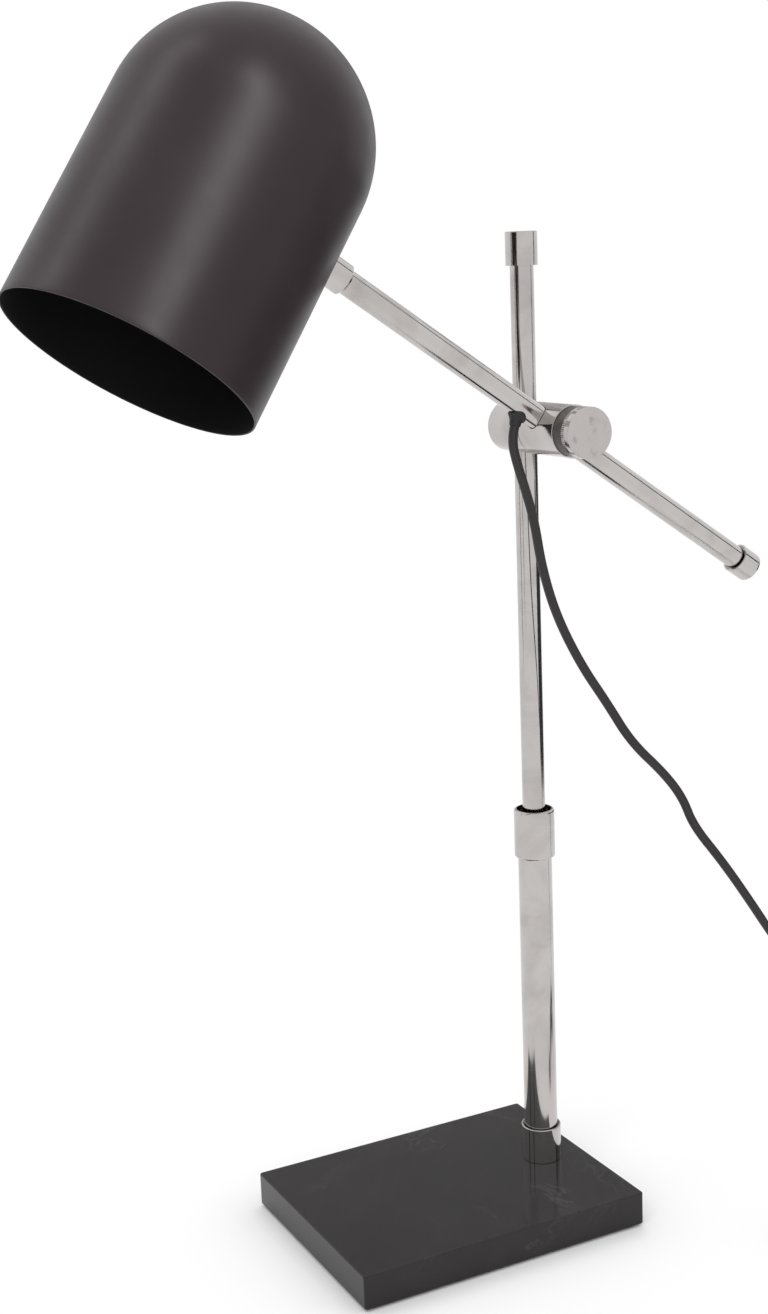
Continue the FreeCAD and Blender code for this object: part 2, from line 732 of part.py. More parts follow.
def tail_cap():
    cup = cap_cup(TAIL_CAP_RADIUS, UPPER_RADIUS, TAIL_CAP_LENGTH, TAIL_CAP_END, TAIL_CAP_ROUND)
    mouth = V(0, 0, TAIL_CAP_LENGTH - ARM_TAIL)
    return placed(cup, ARM * frame(mouth, V(1, 0, 0), V(0, 0, -1)))


def counterweight():
    start = ARM_TUBE_START
    return placed(cylinder(UPPER_BORE - FIXED_GAP, start, start + WEIGHT_LENGTH), ARM)


def arm_collar():
    bore = UPPER_RADIUS + FIXED_GAP
    inner = ARM_COLLAR_RADIUS - ARM_COLLAR_WALL
    floor = ARM_COLLAR_START + ARM_COLLAR_FLOOR
    reach = WALL_OUTSIDE + ARM_COLLAR_RADIUS
    chamfer = ARM_COLLAR_RADIUS - ARM_COLLAR_CHAMFER
    cup = turned([
        (bore, ARM_COLLAR_START),
        (chamfer, ARM_COLLAR_START),
        (ARM_COLLAR_RADIUS, ARM_COLLAR_START + ARM_COLLAR_CHAMFER),
        (ARM_COLLAR_RADIUS, reach),
        (inner, reach),
        (inner, floor),
        (bore, floor),
    ])
    wall = cylinder(SHADE_RADIUS, 0, SHADE_SKIRT)
    return placed(cup, ARM).cut(placed(wall, SHADE))


def arm_nipple():
    start = ARM_TUBE_END - NIPPLE_IN_ARM
    return placed(ring(NIPPLE_RADIUS, NIPPLE_BORE_RADIUS, start, NIPPLE_END), ARM)


# ---- Grommet and inner lead -------------------------------------------------------------------------
grommet_seat = ARM.multVec(V(UPPER_RADIUS, 0, GROMMET_AT))
first_corner = V(*DROP_ROUTE[0])
nose_direction = (first_corner - grommet_seat).normalize()
cord_exit = grommet_seat + nose_direction * GROMMET_NOSE_LENGTH


def cord_grommet():
    at = V(0, 0, GROMMET_AT)
    out = V(1, 0, 0)
    face = UPPER_RADIUS + GROMMET_FLANGE_HEIGHT
    wide = Part.makeCylinder(GROMMET_FLANGE_RADIUS, face, at, out)
    wide = wide.cut(cylinder(UPPER_RADIUS + FIXED_GAP, 0, 2 * GROMMET_AT))
    inside = UPPER_BORE - GROMMET_INSIDE
    sleeve = Part.makeCylinder(GROMMET_HOLE_RADIUS - FIXED_GAP, face - inside, at + out * inside, out)
    body = placed(wide.fuse(sleeve), ARM)
    nose = Part.makeCylinder(GROMMET_NOSE_RADIUS, GROMMET_NOSE_LENGTH, grommet_seat, nose_direction)
    bore_start = grommet_seat - nose_direction * UPPER_RADIUS
    bore = Part.makeCylinder(
        LEAD_DIAMETER / 2 + FIXED_GAP, 3 * UPPER_RADIUS, bore_start, nose_direction
    )
    return body.fuse(nose).cut(bore)


def inner_lead():
    inward = ARM.inverse().Rotation.multVec(nose_direction)
    seat = V(UPPER_RADIUS, 0, GROMMET_AT)
    start = seat + inward * GROMMET_NOSE_LENGTH
    bend = seat - inward * (UPPER_RADIUS / inward.x)
    route = [start, bend] + [V(x, y, SHADE_AXIS_AT + z) for x, y, z in LEAD_LOOP]
    route += [V(-LEAD_TURN_IN, 0, SHADE_AXIS_AT), V(-LEAD_END, 0, SHADE_AXIS_AT)]
    lead, _ = cord_along("inner lead", route, LEAD_DIAMETER)
    return placed(lead, ARM)


# ---- Shade and what is in it ------------------------------------------------------------------------
def dome(radius, length):
    """Half ball and cylinder about Z, the ball's centre at 0 and the open end up."""
    ball = Part.makeSphere(radius, V(), UP, -90, 0, 360)
    return ball.fuse(cylinder(radius, 0, length))


def shade():
    shell = dome(SHADE_RADIUS, SHADE_SKIRT).cut(dome(SHADE_BORE, SHADE_SKIRT + 1))
    hole = placed(cylinder(NIPPLE_RADIUS + FIXED_GAP, 0, SHADE_AXIS_AT), ARM)
    return placed(shell, SHADE).cut(hole)


def saddle_washer():
    disc = ring(SADDLE_RADIUS, NIPPLE_RADIUS + FIXED_GAP, WALL_OUTSIDE, LEG_START)
    inside = placed(cylinder(SHADE_BORE, 0, SHADE_SKIRT), SHADE)
    return placed(disc, ARM).common(inside)


def lock_nut(start):
    nut = hexagon(LOCK_NUT_FLATS, start, start + LOCK_NUT_HEIGHT)
    return nut.cut(cylinder(NIPPLE_RADIUS + FIXED_GAP, start - 1, start + LOCK_NUT_HEIGHT + 1))


def arm_nut():
    return placed(lock_nut(LEG_END), ARM)


def holder_bracket():
    """Angle of bent strip: one leg on the wall, the other across to the shade's axis."""
    top = -ARM_BELOW_SPRING - HOLDER_TOP
    far = SHADE_AXIS_AT + BRACKET_PAST_HOLE
    thickness = BRACKET_THICKNESS
    corners = [
        V(BRACKET_PAST_HOLE, -BRACKET_WIDTH / 2, LEG_START),
        V(BRACKET_PAST_HOLE, -BRACKET_WIDTH / 2, LEG_END),
        V(top + thickness, -BRACKET_WIDTH / 2, LEG_END),
        V(top + thickness, -BRACKET_WIDTH / 2, far),
        V(top, -BRACKET_WIDTH / 2, far),
        V(top, -BRACKET_WIDTH / 2, LEG_START),
    ]
    radii = [0, 0, BRACKET_BEND, 0, 0, BRACKET_BEND + thickness]
    face = Part.Face(Part.Wire(path_edges(corners, radii, True)))
    strip = face.extrude(V(0, BRACKET_WIDTH, 0))
    hole = NIPPLE_RADIUS + FIXED_GAP
    wall_hole = cylinder(hole, LEG_START - 1, LEG_END + 1)
    cross_hole = Part.makeCylinder(hole, 3 * thickness, V(top - thickness, 0, SHADE_AXIS_AT), V(1, 0, 0))
    return placed(strip.cut(wall_hole).cut(cross_hole), ARM)


def holder_nipple():
    start = -HOLDER_TOP - HOLDER_NIPPLE_ABOVE
    end = HOLDER_START + HOLDER_NIPPLE_BELOW
    return placed(ring(NIPPLE_RADIUS, NIPPLE_BORE_RADIUS, start, end), SHADE)


def holder_nut():
    return placed(lock_nut(-HOLDER_TOP - LOCK_NUT_HEIGHT), SHADE)


def holder_cap():
    inner = HOLDER_RADIUS - HOLDER_WALL
    shoulder = HOLDER_START + HOLDER_CAP_HEIGHT / 2
    hole = NIPPLE_RADIUS + FIXED_GAP
    roof = HOLDER_START + 2 * HOLDER_WALL
    return placed(turned([
        (hole, HOLDER_START),
        (HOLDER_CAP_NECK, HOLDER_START),
        (HOLDER_RADIUS, shoulder, HOLDER_WALL),
        (HOLDER_RADIUS, 0),
        (inner, 0),
        (inner, shoulder + HOLDER_WALL),
        (HOLDER_CAP_NECK - HOLDER_WALL, roof),
        (hole, roof),
    ]), SHADE)


def holder_shell():
    inner = HOLDER_RADIUS - HOLDER_WALL
    return placed(turned([
        (inner, 0),
        (HOLDER_RADIUS, 0),
        (HOLDER_RADIUS, HOLDER_LENGTH, HOLDER_LIP / 2),
        (HOLDER_LIP_RADIUS, HOLDER_LENGTH),
        (HOLDER_LIP_RADIUS, HOLDER_LENGTH - HOLDER_LIP),
        (inner, HOLDER_LENGTH - HOLDER_LIP),
    ]), SHADE)


def holder_core():
    radius = HOLDER_RADIUS - HOLDER_WALL - FIXED_GAP
    return placed(cylinder(radius, CORE_START, CORE_START + CORE_THICKNESS), SHADE)


def screw_shell():
    start = CORE_START + CORE_THICKNESS
    inner = SHELL_RADIUS - SHELL_WALL
    return placed(ring(SHELL_RADIUS, inner, start, start + SHELL_LENGTH), SHADE)


def holder_contact():
    """Bent strip on the core, lifted at its free end towards the bulb's tip."""
    start = CORE_START + CORE_THICKNESS
    half = CONTACT_LENGTH / 2
    x, y, thick = half, -CONTACT_WIDTH / 2, CONTACT_THICKNESS
    corners = [
        V(-x, y, start),
        V(0, y, start),
        V(x, y, start + CONTACT_LIFT),
        V(x, y, start + CONTACT_LIFT + thick),
        V(0, y, start + thick),
        V(-x, y, start + thick),
    ]
    face = Part.Face(Part.Wire(path_edges(corners, [0] * len(corners), True)))
    return placed(face.extrude(V(0, CONTACT_WIDTH, 0)), SHADE)


def bulb_base():
    tip = BULB_BASE_START + BULB_TIP_HEIGHT
    return placed(turned([
        (0, BULB_BASE_START),
        (BULB_TIP_RADIUS, BULB_BASE_START),
        (BULB_TIP_RADIUS, tip),
        (BULB_BASE_RADIUS, tip + BULB_TIP_HEIGHT),
        (BULB_BASE_RADIUS, HOLDER_LENGTH),
        (BULB_NECK_RADIUS + FIXED_GAP, HOLDER_LENGTH),
        (BULB_NECK_RADIUS + FIXED_GAP, tip + 3 * BULB_TIP_HEIGHT),
        (0, tip + 3 * BULB_TIP_HEIGHT),
    ]), SHADE)


def bulb_glass():
    """Open-necked glass ball, its neck held in the brass base."""
    start = HOLDER_LENGTH - BULB_NECK_LENGTH
    middle = HOLDER_LENGTH + BULB_LENGTH - BULB_RADIUS
    inner = BULB_RADIUS - GLASS_THICKNESS
    neck = BULB_NECK_RADIUS
    bore = neck - GLASS_THICKNESS
    outer_solid = Part.makeSphere(BULB_RADIUS, V(0, 0, middle)).fuse(cylinder(neck, start, middle))
    hollow = Part.makeSphere(inner, V(0, 0, middle)).fuse(cylinder(bore, start - 1, middle))
    return placed(outer_solid.cut(hollow), SHADE)


# ---- Free cord --------------------------------------------------------------------------------------
coil_x, coil_y = COIL_MIDDLE
coil_reverse = COIL_TURNS / 2


def coil_radius(turn):
    """Radius of the coil's middle line: in to the reversal, and out again at the same rate."""
    return COIL_OUTER - COIL_STEP * min(turn, COIL_TURNS - turn)


def coil_height(turn):
    """Height of the coil's middle line: one even climb about the reversal."""
    share = (turn - coil_reverse) / COIL_CLIMB + 0.5
    share = min(max(share, 0.0), 1.0)
    return CORD_REST_Z + COIL_LAYER * share * share * (3 - 2 * share)


def coil_point(turn):
    angle = -2 * math.pi * turn
    radius = coil_radius(turn)
    return V(coil_x + radius * math.cos(angle), coil_y + radius * math.sin(angle), coil_height(turn))


def coil_direction(turn):
    if turn <= 0:
        return V(0, -1, 0)
    if turn >= COIL_TURNS:
        return V(-1, 0, 0)
    step = 1e-4
    return (coil_point(turn + step) - coil_point(turn - step)).normalize()


coil_start = coil_point(0.0) - coil_direction(0.0) * COIL_END_RUN
coil_end = coil_point(COIL_TURNS) + coil_direction(COIL_TURNS) * COIL_END_RUN


def cord_coil():
    quarters = round(4 * COIL_TURNS)
    edges = [Part.LineSegment(coil_start, coil_point(0.0)).toShape()]
    for k in range(quarters):
        here, there = k / 4, (k + 1) / 4
        edges += biarc(
            coil_point(here), coil_direction(here), coil_point(there), coil_direction(there)
        )
    edges.append(Part.LineSegment(coil_point(COIL_TURNS), coil_end).toShape())
    tube = swept(edges, CORD_DIAMETER)
    length = sum(edge.Length for edge in edges)
    share = tube.Volume / (math.pi * CORD_DIAMETER**2 / 4 * length)
    print(f"cord coil: {length:.1f} mm, volume share {share:.4f}, least gap {coil_gap(edges):.2f} mm")
    return tube, length


def coil_gap(edges):
    """Least gap of the coil to itself, on points a few millimetres apart along its middle line."""
    spacing = 2.0
    points, run = [], []
    travelled = 0.0
    for edge in edges:
        count = max(2, round(edge.Length / spacing))
        for k, point in enumerate(edge.discretize(Number=count + 1)[:-1]):
            points.append(point)
            run.append(travelled + edge.Length * k / count)
        travelled += edge.Length
    apart = 4 * CORD_DIAMETER
    least = min(
        points[i].distanceToPoint(points[j])
        for i in range(len(points))
        for j in range(i)
        if run[i] - run[j] > apart
    )
    return least - CORD_DIAMETER


def cord_drop():
    landing = V(coil_start.x, coil_start.y + DROP_LAST_RUN, CORD_REST_Z)
    route = [cord_exit] + [V(*point) for point in DROP_ROUTE] + [landing, coil_start]
    return cord_along("cord drop", route, CORD_DIAMETER)


switch_axis_z = SWITCH_HEIGHT / 2
plug_axis_z = PLUG_HEIGHT / 2
switch_start_x = coil_end.x - TAIL_RUN
switch_x = switch_start_x - SWITCH_LENGTH / 2
plug_start_x = switch_start_x - SWITCH_LENGTH - TAIL_RUN
tail_y = coil_end.y


def switch_cord():
    """Straight level cord from the coil's upper layer into the switch."""
    print(f"switch cord: {TAIL_RUN:.1f} mm, straight")
    return Part.makeCylinder(CORD_DIAMETER / 2, TAIL_RUN, coil_end, V(-1, 0, 0)), TAIL_RUN


def plug_cord():
    """Short cord towards -X that comes down a little on the way from the switch to the plug."""
    start_x = switch_start_x - SWITCH_LENGTH
    third = TAIL_RUN / 3
    route = [
        V(start_x, tail_y, switch_axis_z),
        V(start_x - third, tail_y, switch_axis_z),
        V(start_x - 2 * third, tail_y, plug_axis_z),
        V(start_x - TAIL_RUN, tail_y, plug_axis_z),
    ]
    return cord_along("plug cord", route, CORD_DIAMETER)


# ---- Switch and plug --------------------------------------------------------------------------------
SWITCH = FreeCAD.Placement(V(switch_x, tail_y, 0), FreeCAD.Rotation())
# Plug frame: X runs from the cord to the pins.
PLUG = FreeCAD.Placement(V(plug_start_x, tail_y, 0), FreeCAD.Rotation(UP, 180))


def switch_outline(inset):
    """Outline of the case seen from above, drawn in by a wall's thickness for its hollow."""
    length = SWITCH_LENGTH / 2 - inset
    width = SWITCH_WIDTH / 2 - inset
    end = SWITCH_END_WIDTH / 2 - inset
    shoulder = length - SWITCH_TAPER
    ends, bends = SWITCH_END_ROUND, SWITCH_SHOULDER_ROUND
    half = [(length, end, ends), (shoulder, width, bends)]
    half += [(-x, y, r) for x, y, r in reversed(half)]
    return half + [(x, -y, r) for x, y, r in reversed(half)]


def rocker_block(grow, start, end):
    x, y = ROCKER_LENGTH / 2 + grow, ROCKER_WIDTH / 2 + grow
    return block(-x, x, -y, y, start, end)


def switch_screws_of(radius, start, end):
    """Two upright bars at the screws' places."""
    return [
        Part.makeCylinder(radius, end - start, V(x, 0, start))
        for x in (-SWITCH_SCREW_AT, SWITCH_SCREW_AT)
    ]


def cord_entries():
    x = SWITCH_LENGTH / 2
    return [
        Part.makeCylinder(
            CORD_DIAMETER / 2 + FIXED_GAP, SWITCH_WALL, V(side * x, 0, switch_axis_z), V(-side, 0, 0)
        )
        for side in (-1, 1)
    ]


def switch_half(start, end, rim):
    """Half of the case: a thin-walled tray with bosses for the screws."""
    shell = prism(switch_outline(0), start, end)
    shell = shell.makeFillet(SWITCH_EDGE, flat_edges(shell, rim))
    floor = (start + SWITCH_WALL, end) if rim == start else (start, end - SWITCH_WALL)
    tray = shell.cut(prism(switch_outline(SWITCH_WALL), *floor))
    for boss in switch_screws_of(SWITCH_SCREW_HEAD + SWITCH_WALL, start + SWITCH_EDGE, end - SWITCH_EDGE):
        tray = tray.fuse(boss.common(prism(switch_outline(SWITCH_WALL / 2), start, end)))
    return tray


def switch_base():
    tray = switch_half(0, switch_axis_z, 0)
    for hole in switch_screws_of(SWITCH_SCREW_RADIUS + FIXED_GAP, SWITCH_WALL, SWITCH_HEIGHT):
        tray = tray.cut(hole)
    return placed(tray, SWITCH)


pivot_z = SWITCH_HEIGHT - SWITCH_WALL / 2


def pivot_bar(radius, half_length):
    return Part.makeCylinder(radius, 2 * half_length, V(0, -half_length, pivot_z), V(0, 1, 0))


def switch_lid():
    lid = switch_half(switch_axis_z, SWITCH_HEIGHT, SWITCH_HEIGHT)
    lid = lid.cut(rocker_block(ROCKER_GAP, switch_axis_z, SWITCH_HEIGHT + 1))
    cheek = ROCKER_WIDTH / 2 + ROCKER_GAP
    lid = lid.cut(pivot_bar(ROCKER_PIVOT_RADIUS + RUNNING_GAP, cheek + SWITCH_WALL))
    head_seat = SWITCH_HEIGHT - SWITCH_WALL
    for hole in switch_screws_of(SWITCH_SCREW_RADIUS + FIXED_GAP, 0, SWITCH_HEIGHT + 1):
        lid = lid.cut(hole)
    for hole in switch_screws_of(SWITCH_SCREW_HEAD + FIXED_GAP, head_seat, SWITCH_HEIGHT + 1):
        lid = lid.cut(hole)
    return placed(lid, SWITCH)


def switch_screws():
    head_seat = SWITCH_HEIGHT - SWITCH_WALL
    shanks = switch_screws_of(SWITCH_SCREW_RADIUS, SWITCH_WALL + SWITCH_EDGE, head_seat)
    heads = switch_screws_of(SWITCH_SCREW_HEAD, head_seat, SWITCH_HEIGHT - SWITCH_WALL / 3)
    screws = [shank.fuse(head) for shank, head in zip(shanks, heads)]
    return placed(Part.makeCompound(screws), SWITCH)


def switch_rocker():
    """Rocker with a shallow valley on top, on a pivot across the case, tipped to its off side."""
    x, rise = ROCKER_LENGTH / 2, ROCKER_RISE
    y = -ROCKER_WIDTH / 2
    corners = [
        V(-x, y, pivot_z - ROCKER_DEPTH / 3),
        V(0, y, pivot_z - ROCKER_DEPTH),
        V(x, y, pivot_z - ROCKER_DEPTH / 3),
        V(x, y, pivot_z + rise),
        V(0, y, pivot_z + rise / 2),
        V(-x, y, pivot_z + rise),
    ]
    radii = [0, x, 0, ROCKER_EDGE, 3 * x, ROCKER_EDGE]
    face = Part.Face(Part.Wire(path_edges(corners, radii, True)))
    rocker = face.extrude(V(0, ROCKER_WIDTH, 0))
    pivots = pivot_bar(ROCKER_PIVOT_RADIUS, ROCKER_WIDTH / 2 + ROCKER_GAP + SWITCH_WALL / 2)
    rocker = rocker.fuse(pivots)
    rocker.rotate(V(0, 0, pivot_z), V(0, 1, 0), -ROCKER_TILT)
    return placed(rocker, SWITCH)


def plug_body():
    """Flat plug lying on its side, wide at the grip and drawn in towards the pins and the cord."""
    outline = [
        (0, PLUG_END_WIDTH / 2, PLUG_END_ROUND),
        (PLUG_NECK, PLUG_NECK_WIDTH / 2, PLUG_BEND_ROUND),
        (PLUG_NECK + PLUG_SHOULDER, PLUG_WIDTH / 2, PLUG_BEND_ROUND),
        (PLUG_BODY_LENGTH - PLUG_FACE_TAPER, PLUG_WIDTH / 2, PLUG_BEND_ROUND),
        (PLUG_BODY_LENGTH, PLUG_FACE_WIDTH / 2, PLUG_END_ROUND),
    ]
    outline += [(x, -y, r) for x, y, r in reversed(outline)]
    body = prism(outline, 0, PLUG_HEIGHT)
    body = body.makeFillet(PLUG_EDGE, flat_edges(body, 0) + flat_edges(body, PLUG_HEIGHT))
    for hole in plug_bars(PLUG_PIN_RADIUS + FIXED_GAP):
        body = body.cut(hole)
    return placed(body, PLUG)


def plug_bars(radius):
    start = PLUG_BODY_LENGTH - PLUG_PIN_IN_BODY
    length = PLUG_PIN_IN_BODY + PLUG_PIN_LENGTH
    return [
        Part.makeCylinder(radius, length, V(start, y, plug_axis_z), V(1, 0, 0))
        for y in (-PLUG_PIN_SPACING / 2, PLUG_PIN_SPACING / 2)
    ]


def plug_pins():
    return placed(Part.makeCompound(plug_bars(PLUG_PIN_RADIUS)), PLUG)


# ---- All pieces -------------------------------------------------------------------------------------
def main():
    drop, drop_length = cord_drop()
    coil, coil_length = cord_coil()
    to_switch, first_tail = switch_cord()
    to_plug, second_tail = plug_cord()
    cord_length = drop_length + coil_length + first_tail + SWITCH_LENGTH + second_tail
    print(f"whole cord, switch included: {cord_length:.0f} mm")
    print(f"clamp pad: {PAD_TRAVEL:.3f} mm of travel in {KNOB_TURNS} turns of the knob")
    nodes = {
        "felt_pad": felt_pad(),
        "stone_base": stone_base(),
        "base_rod": base_rod(),
        "base_nut": base_nut(),
        "base_washer": base_washer(),
        "threaded_plug": threaded_plug(),
        "foot_collar": foot_collar(),
        "lower_tube": lower_tube(),
        "mid_bush": mid_bush(),
        "tube_pin": tube_pin(),
        "mid_collar": mid_collar(),
        "upper_tube": upper_tube(),
        "top_cap": top_cap(),
        "post_liner": post_liner(),
        "rear_block": rear_block(),
        "tilt_washer": tilt_washer(),
        "retaining_ring": retaining_ring(),
        "thrust_pin": thrust_pin(),
        "front_block": front_block(),
        "spacer_ring": spacer_ring(),
        "clamp_pad": clamp_pad(),
        "clamp_screw": clamp_screw(),
        "clamp_knob": clamp_knob(),
        "arm_liner": arm_liner(),
        "arm_tube": arm_tube(),
        "tail_cap": tail_cap(),
        "counterweight": counterweight(),
        "arm_collar": arm_collar(),
        "arm_nipple": arm_nipple(),
        "cord_grommet": cord_grommet(),
        "inner_lead": inner_lead(),
        "shade": shade(),
        "saddle_washer": saddle_washer(),
        "arm_nut": arm_nut(),
        "holder_bracket": holder_bracket(),
        "holder_nipple": holder_nipple(),
        "holder_nut": holder_nut(),
        "holder_cap": holder_cap(),
        "holder_shell": holder_shell(),
        "holder_core": holder_core(),
        "screw_shell": screw_shell(),
        "holder_contact": holder_contact(),
        "bulb_base": bulb_base(),
        "bulb_glass": bulb_glass(),
        "cord_drop": drop,
        "cord_coil": coil,
        "switch_cord": to_switch,
        "switch_base": switch_base(),
        "switch_lid": switch_lid(),
        "switch_screws": switch_screws(),
        "switch_rocker": switch_rocker(),
        "plug_cord": to_plug,
        "plug_body": plug_body(),
        "plug_pins": plug_pins(),
    }
    os.makedirs("parts", exist_ok=True)
    for name, shape in nodes.items():
        print(f"{name}: {len(shape.Solids)} solid, {shape.Volume:.0f} mm3, valid {shape.isValid()}")
        shape.exportStep(f"parts/{name}.step")


main()
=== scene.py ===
"""Counterweight balance desk lamp: the finish of every piece, the cords, the studio and the camera.

Lengths are in metres in the row's frame: the origin is under the middle of the base, +X runs along
the base towards the post, -Y is the side of the clamp's knob and +Z is up.
"""

import json
import logging
import math
from dataclasses import dataclass, field
from enum import Enum

import bpy
import numpy as np
from mathutils import Matrix, Vector


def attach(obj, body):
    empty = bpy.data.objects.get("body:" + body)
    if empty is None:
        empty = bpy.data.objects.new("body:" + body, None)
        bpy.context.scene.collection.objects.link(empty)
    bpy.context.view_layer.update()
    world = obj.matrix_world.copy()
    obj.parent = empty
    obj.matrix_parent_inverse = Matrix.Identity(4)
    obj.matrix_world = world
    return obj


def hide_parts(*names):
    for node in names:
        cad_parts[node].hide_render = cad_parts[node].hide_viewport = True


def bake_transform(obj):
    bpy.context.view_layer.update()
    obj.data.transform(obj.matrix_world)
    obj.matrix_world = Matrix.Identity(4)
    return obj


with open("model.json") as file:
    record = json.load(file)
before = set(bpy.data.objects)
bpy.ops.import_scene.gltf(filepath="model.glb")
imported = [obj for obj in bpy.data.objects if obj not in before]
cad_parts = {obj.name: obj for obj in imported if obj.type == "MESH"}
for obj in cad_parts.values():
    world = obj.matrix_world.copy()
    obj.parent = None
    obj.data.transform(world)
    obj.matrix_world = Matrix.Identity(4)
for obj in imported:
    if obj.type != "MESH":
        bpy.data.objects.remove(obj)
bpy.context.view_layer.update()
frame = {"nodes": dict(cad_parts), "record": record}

MM = 0.001
LOG = logging.getLogger("lamp")
Colour = tuple[float, float, float]
Point = tuple[float, float, float]


# ---- Places ----
@dataclass(frozen=True)
class Place:
    """A right-handed frame of one sub-assembly: an origin and three unit directions."""

    origin: np.ndarray
    axes: np.ndarray

    def put(self, points: np.ndarray) -> np.ndarray:
        """Points of this frame in the row's frame.

        Args:
            points: array whose last axis holds local x, y and z.

        Returns:
            Array of the same shape: origin plus x, y and z times the three directions.
        """
        return self.origin + points @ self.axes


def place(origin: Point | np.ndarray, x_axis: np.ndarray, z_axis: np.ndarray) -> Place:
    """Frame from an origin and its X and Z directions; Y is Z cross X.

    Args:
        origin: the frame's origin.
        x_axis: unit X direction.
        z_axis: unit Z direction, at right angles to X.

    Returns:
        The frame.
    """
    return Place(np.array(origin, float), np.array([x_axis, np.cross(z_axis, x_axis), z_axis]))


POST_X = 0.063
HUB_Z = 0.4447
ARM_FORWARD = 0.0291
ARM_SLOPE = math.radians(34.2)
ARM_ROLL = math.radians(6.0)
SHADE_AXIS_AT = 0.2223
ARM_BELOW_SPRING = 0.0232
X, Y, Z = np.eye(3)

ALONG_ARM = np.array([-math.cos(ARM_SLOPE), 0.0, math.sin(ARM_SLOPE)])
BELOW_ARM = np.array([-math.sin(ARM_SLOPE), 0.0, -math.cos(ARM_SLOPE)])
ROLLED = BELOW_ARM * math.cos(ARM_ROLL) + np.cross(ALONG_ARM, BELOW_ARM) * math.sin(ARM_ROLL)
ARM = place((POST_X, -ARM_FORWARD, HUB_Z), ROLLED, ALONG_ARM)
SHADE = place(
    ARM.put(np.array([-ARM_BELOW_SPRING, 0, SHADE_AXIS_AT])), -ALONG_ARM, ARM.axes[0]
)


# ---- Meshes ----
def run_length(points: np.ndarray) -> np.ndarray:
    """Length along a line of points, from its start to each of them."""
    steps = np.linalg.norm(np.diff(points, axis=0), axis=-1)
    return np.concatenate([[0.0], np.cumsum(steps)])


@dataclass
class Skin:
    """A closed surface: rows of points along it, columns that close round it, and flat ends."""

    name: str
    points: np.ndarray
    lengthwise: np.ndarray | None = None

    def quads(self) -> np.ndarray:
        """Corner numbers of the grid's four-sided faces, each joining a cell's four neighbours."""
        rows, columns = self.points.shape[:2]
        number = np.arange(rows * columns).reshape(rows, columns)
        beside = np.roll(number, -1, axis=1)
        cells = (number[:-1], beside[:-1], beside[1:], number[1:])
        return np.stack(cells, axis=-1).reshape(-1, 4)

    def build(self) -> bpy.types.Object:
        """Mesh object of the grid, smooth, with flat ends and a UV map.

        The map's U is the length along the rows in metres, and V the share of the way round.

        Returns:
            The object, linked to the scene.
        """
        rows, columns = self.points.shape[:2]
        faces = self.quads().tolist()
        faces.append(list(range(columns))[::-1])
        faces.append(list(range((rows - 1) * columns, rows * columns)))
        mesh = bpy.data.meshes.new(self.name)
        mesh.from_pydata(self.points.reshape(-1, 3).tolist(), [], faces)
        mesh.shade_smooth()
        self._mark_ends(mesh)
        self._lay_out(mesh)
        piece = bpy.data.objects.new(self.name, mesh)
        bpy.context.scene.collection.objects.link(piece)
        LOG.info("%s: %d points", self.name, rows * columns)
        return piece

    def _mark_ends(self, mesh: bpy.types.Mesh) -> None:
        """Makes the edges of the flat ends sharp."""
        rows, columns = self.points.shape[:2]
        edges = np.zeros(len(mesh.edges) * 2, int)
        mesh.edges.foreach_get("vertices", edges)
        row = edges.reshape(-1, 2) // columns
        level = row[:, 0] == row[:, 1]
        sharp = level & ((row[:, 0] == 0) | (row[:, 0] == rows - 1))
        mark = mesh.attributes.new("sharp_edge", "BOOLEAN", "EDGE")
        mark.data.foreach_set("value", sharp)

    def _lay_out(self, mesh: bpy.types.Mesh) -> None:
        """Writes the UV map of the four-sided faces; the ends share one point of it."""
        columns = self.points.shape[1]
        along = self.lengthwise
        if along is None:
            along = run_length(self.points.mean(axis=1))
        around = np.arange(columns + 1) / columns
        u0, v0 = np.meshgrid(along[:-1], around[:-1], indexing="ij")
        u1, v1 = np.meshgrid(along[1:], around[1:], indexing="ij")
        corners = [(u0, v0), (u0, v1), (u1, v1), (u1, v0)]
        sheet = np.stack([np.stack(corner, axis=-1) for corner in corners], axis=2).reshape(-1, 2)
        whole = np.zeros((len(mesh.loops), 2))
        whole[: len(sheet)] = sheet
        mesh.uv_layers.new(name="UVMap").data.foreach_set("uv", whole.ravel())


def eased(stations: np.ndarray, at: np.ndarray) -> np.ndarray:
    """Values between stations on smooth S curves, with a share of 3 t^2 - 2 t^3 of each step.

    Args:
        stations: rows of (length along, value, value...), in order.
        at: lengths at which the values are wanted.

    Returns:
        Array of one row of values for each length.
    """
    along, values = stations[:, 0], stations[:, 1:]
    k = np.clip(np.searchsorted(along, at, side="right") - 1, 0, len(along) - 2)
    t = np.clip((at - along[k]) / (along[k + 1] - along[k]), 0, 1)[:, None]
    return values[k] + (values[k + 1] - values[k]) * t * t * (3 - 2 * t)


def turned(name: str, profile: np.ndarray, where: Place, columns: int) -> bpy.types.Object:
    """Piece turned about its frame's Z: (r, z) becomes (r cos a, r sin a, z).

    Args:
        name: the piece's name.
        profile: (radius, height) points, anticlockwise, so that the faces point outwards.
        where: the piece's frame.
        columns: number of columns round the axis.

    Returns:
        The object.
    """
    angle = np.arange(columns) * 2 * math.pi / columns
    radius, height = profile[:, :1], profile[:, 1:]
    grid = np.stack(
        [radius * np.cos(angle), radius * np.sin(angle), height + 0 * angle], axis=-1
    )
    return Skin(name, where.put(grid)).build()


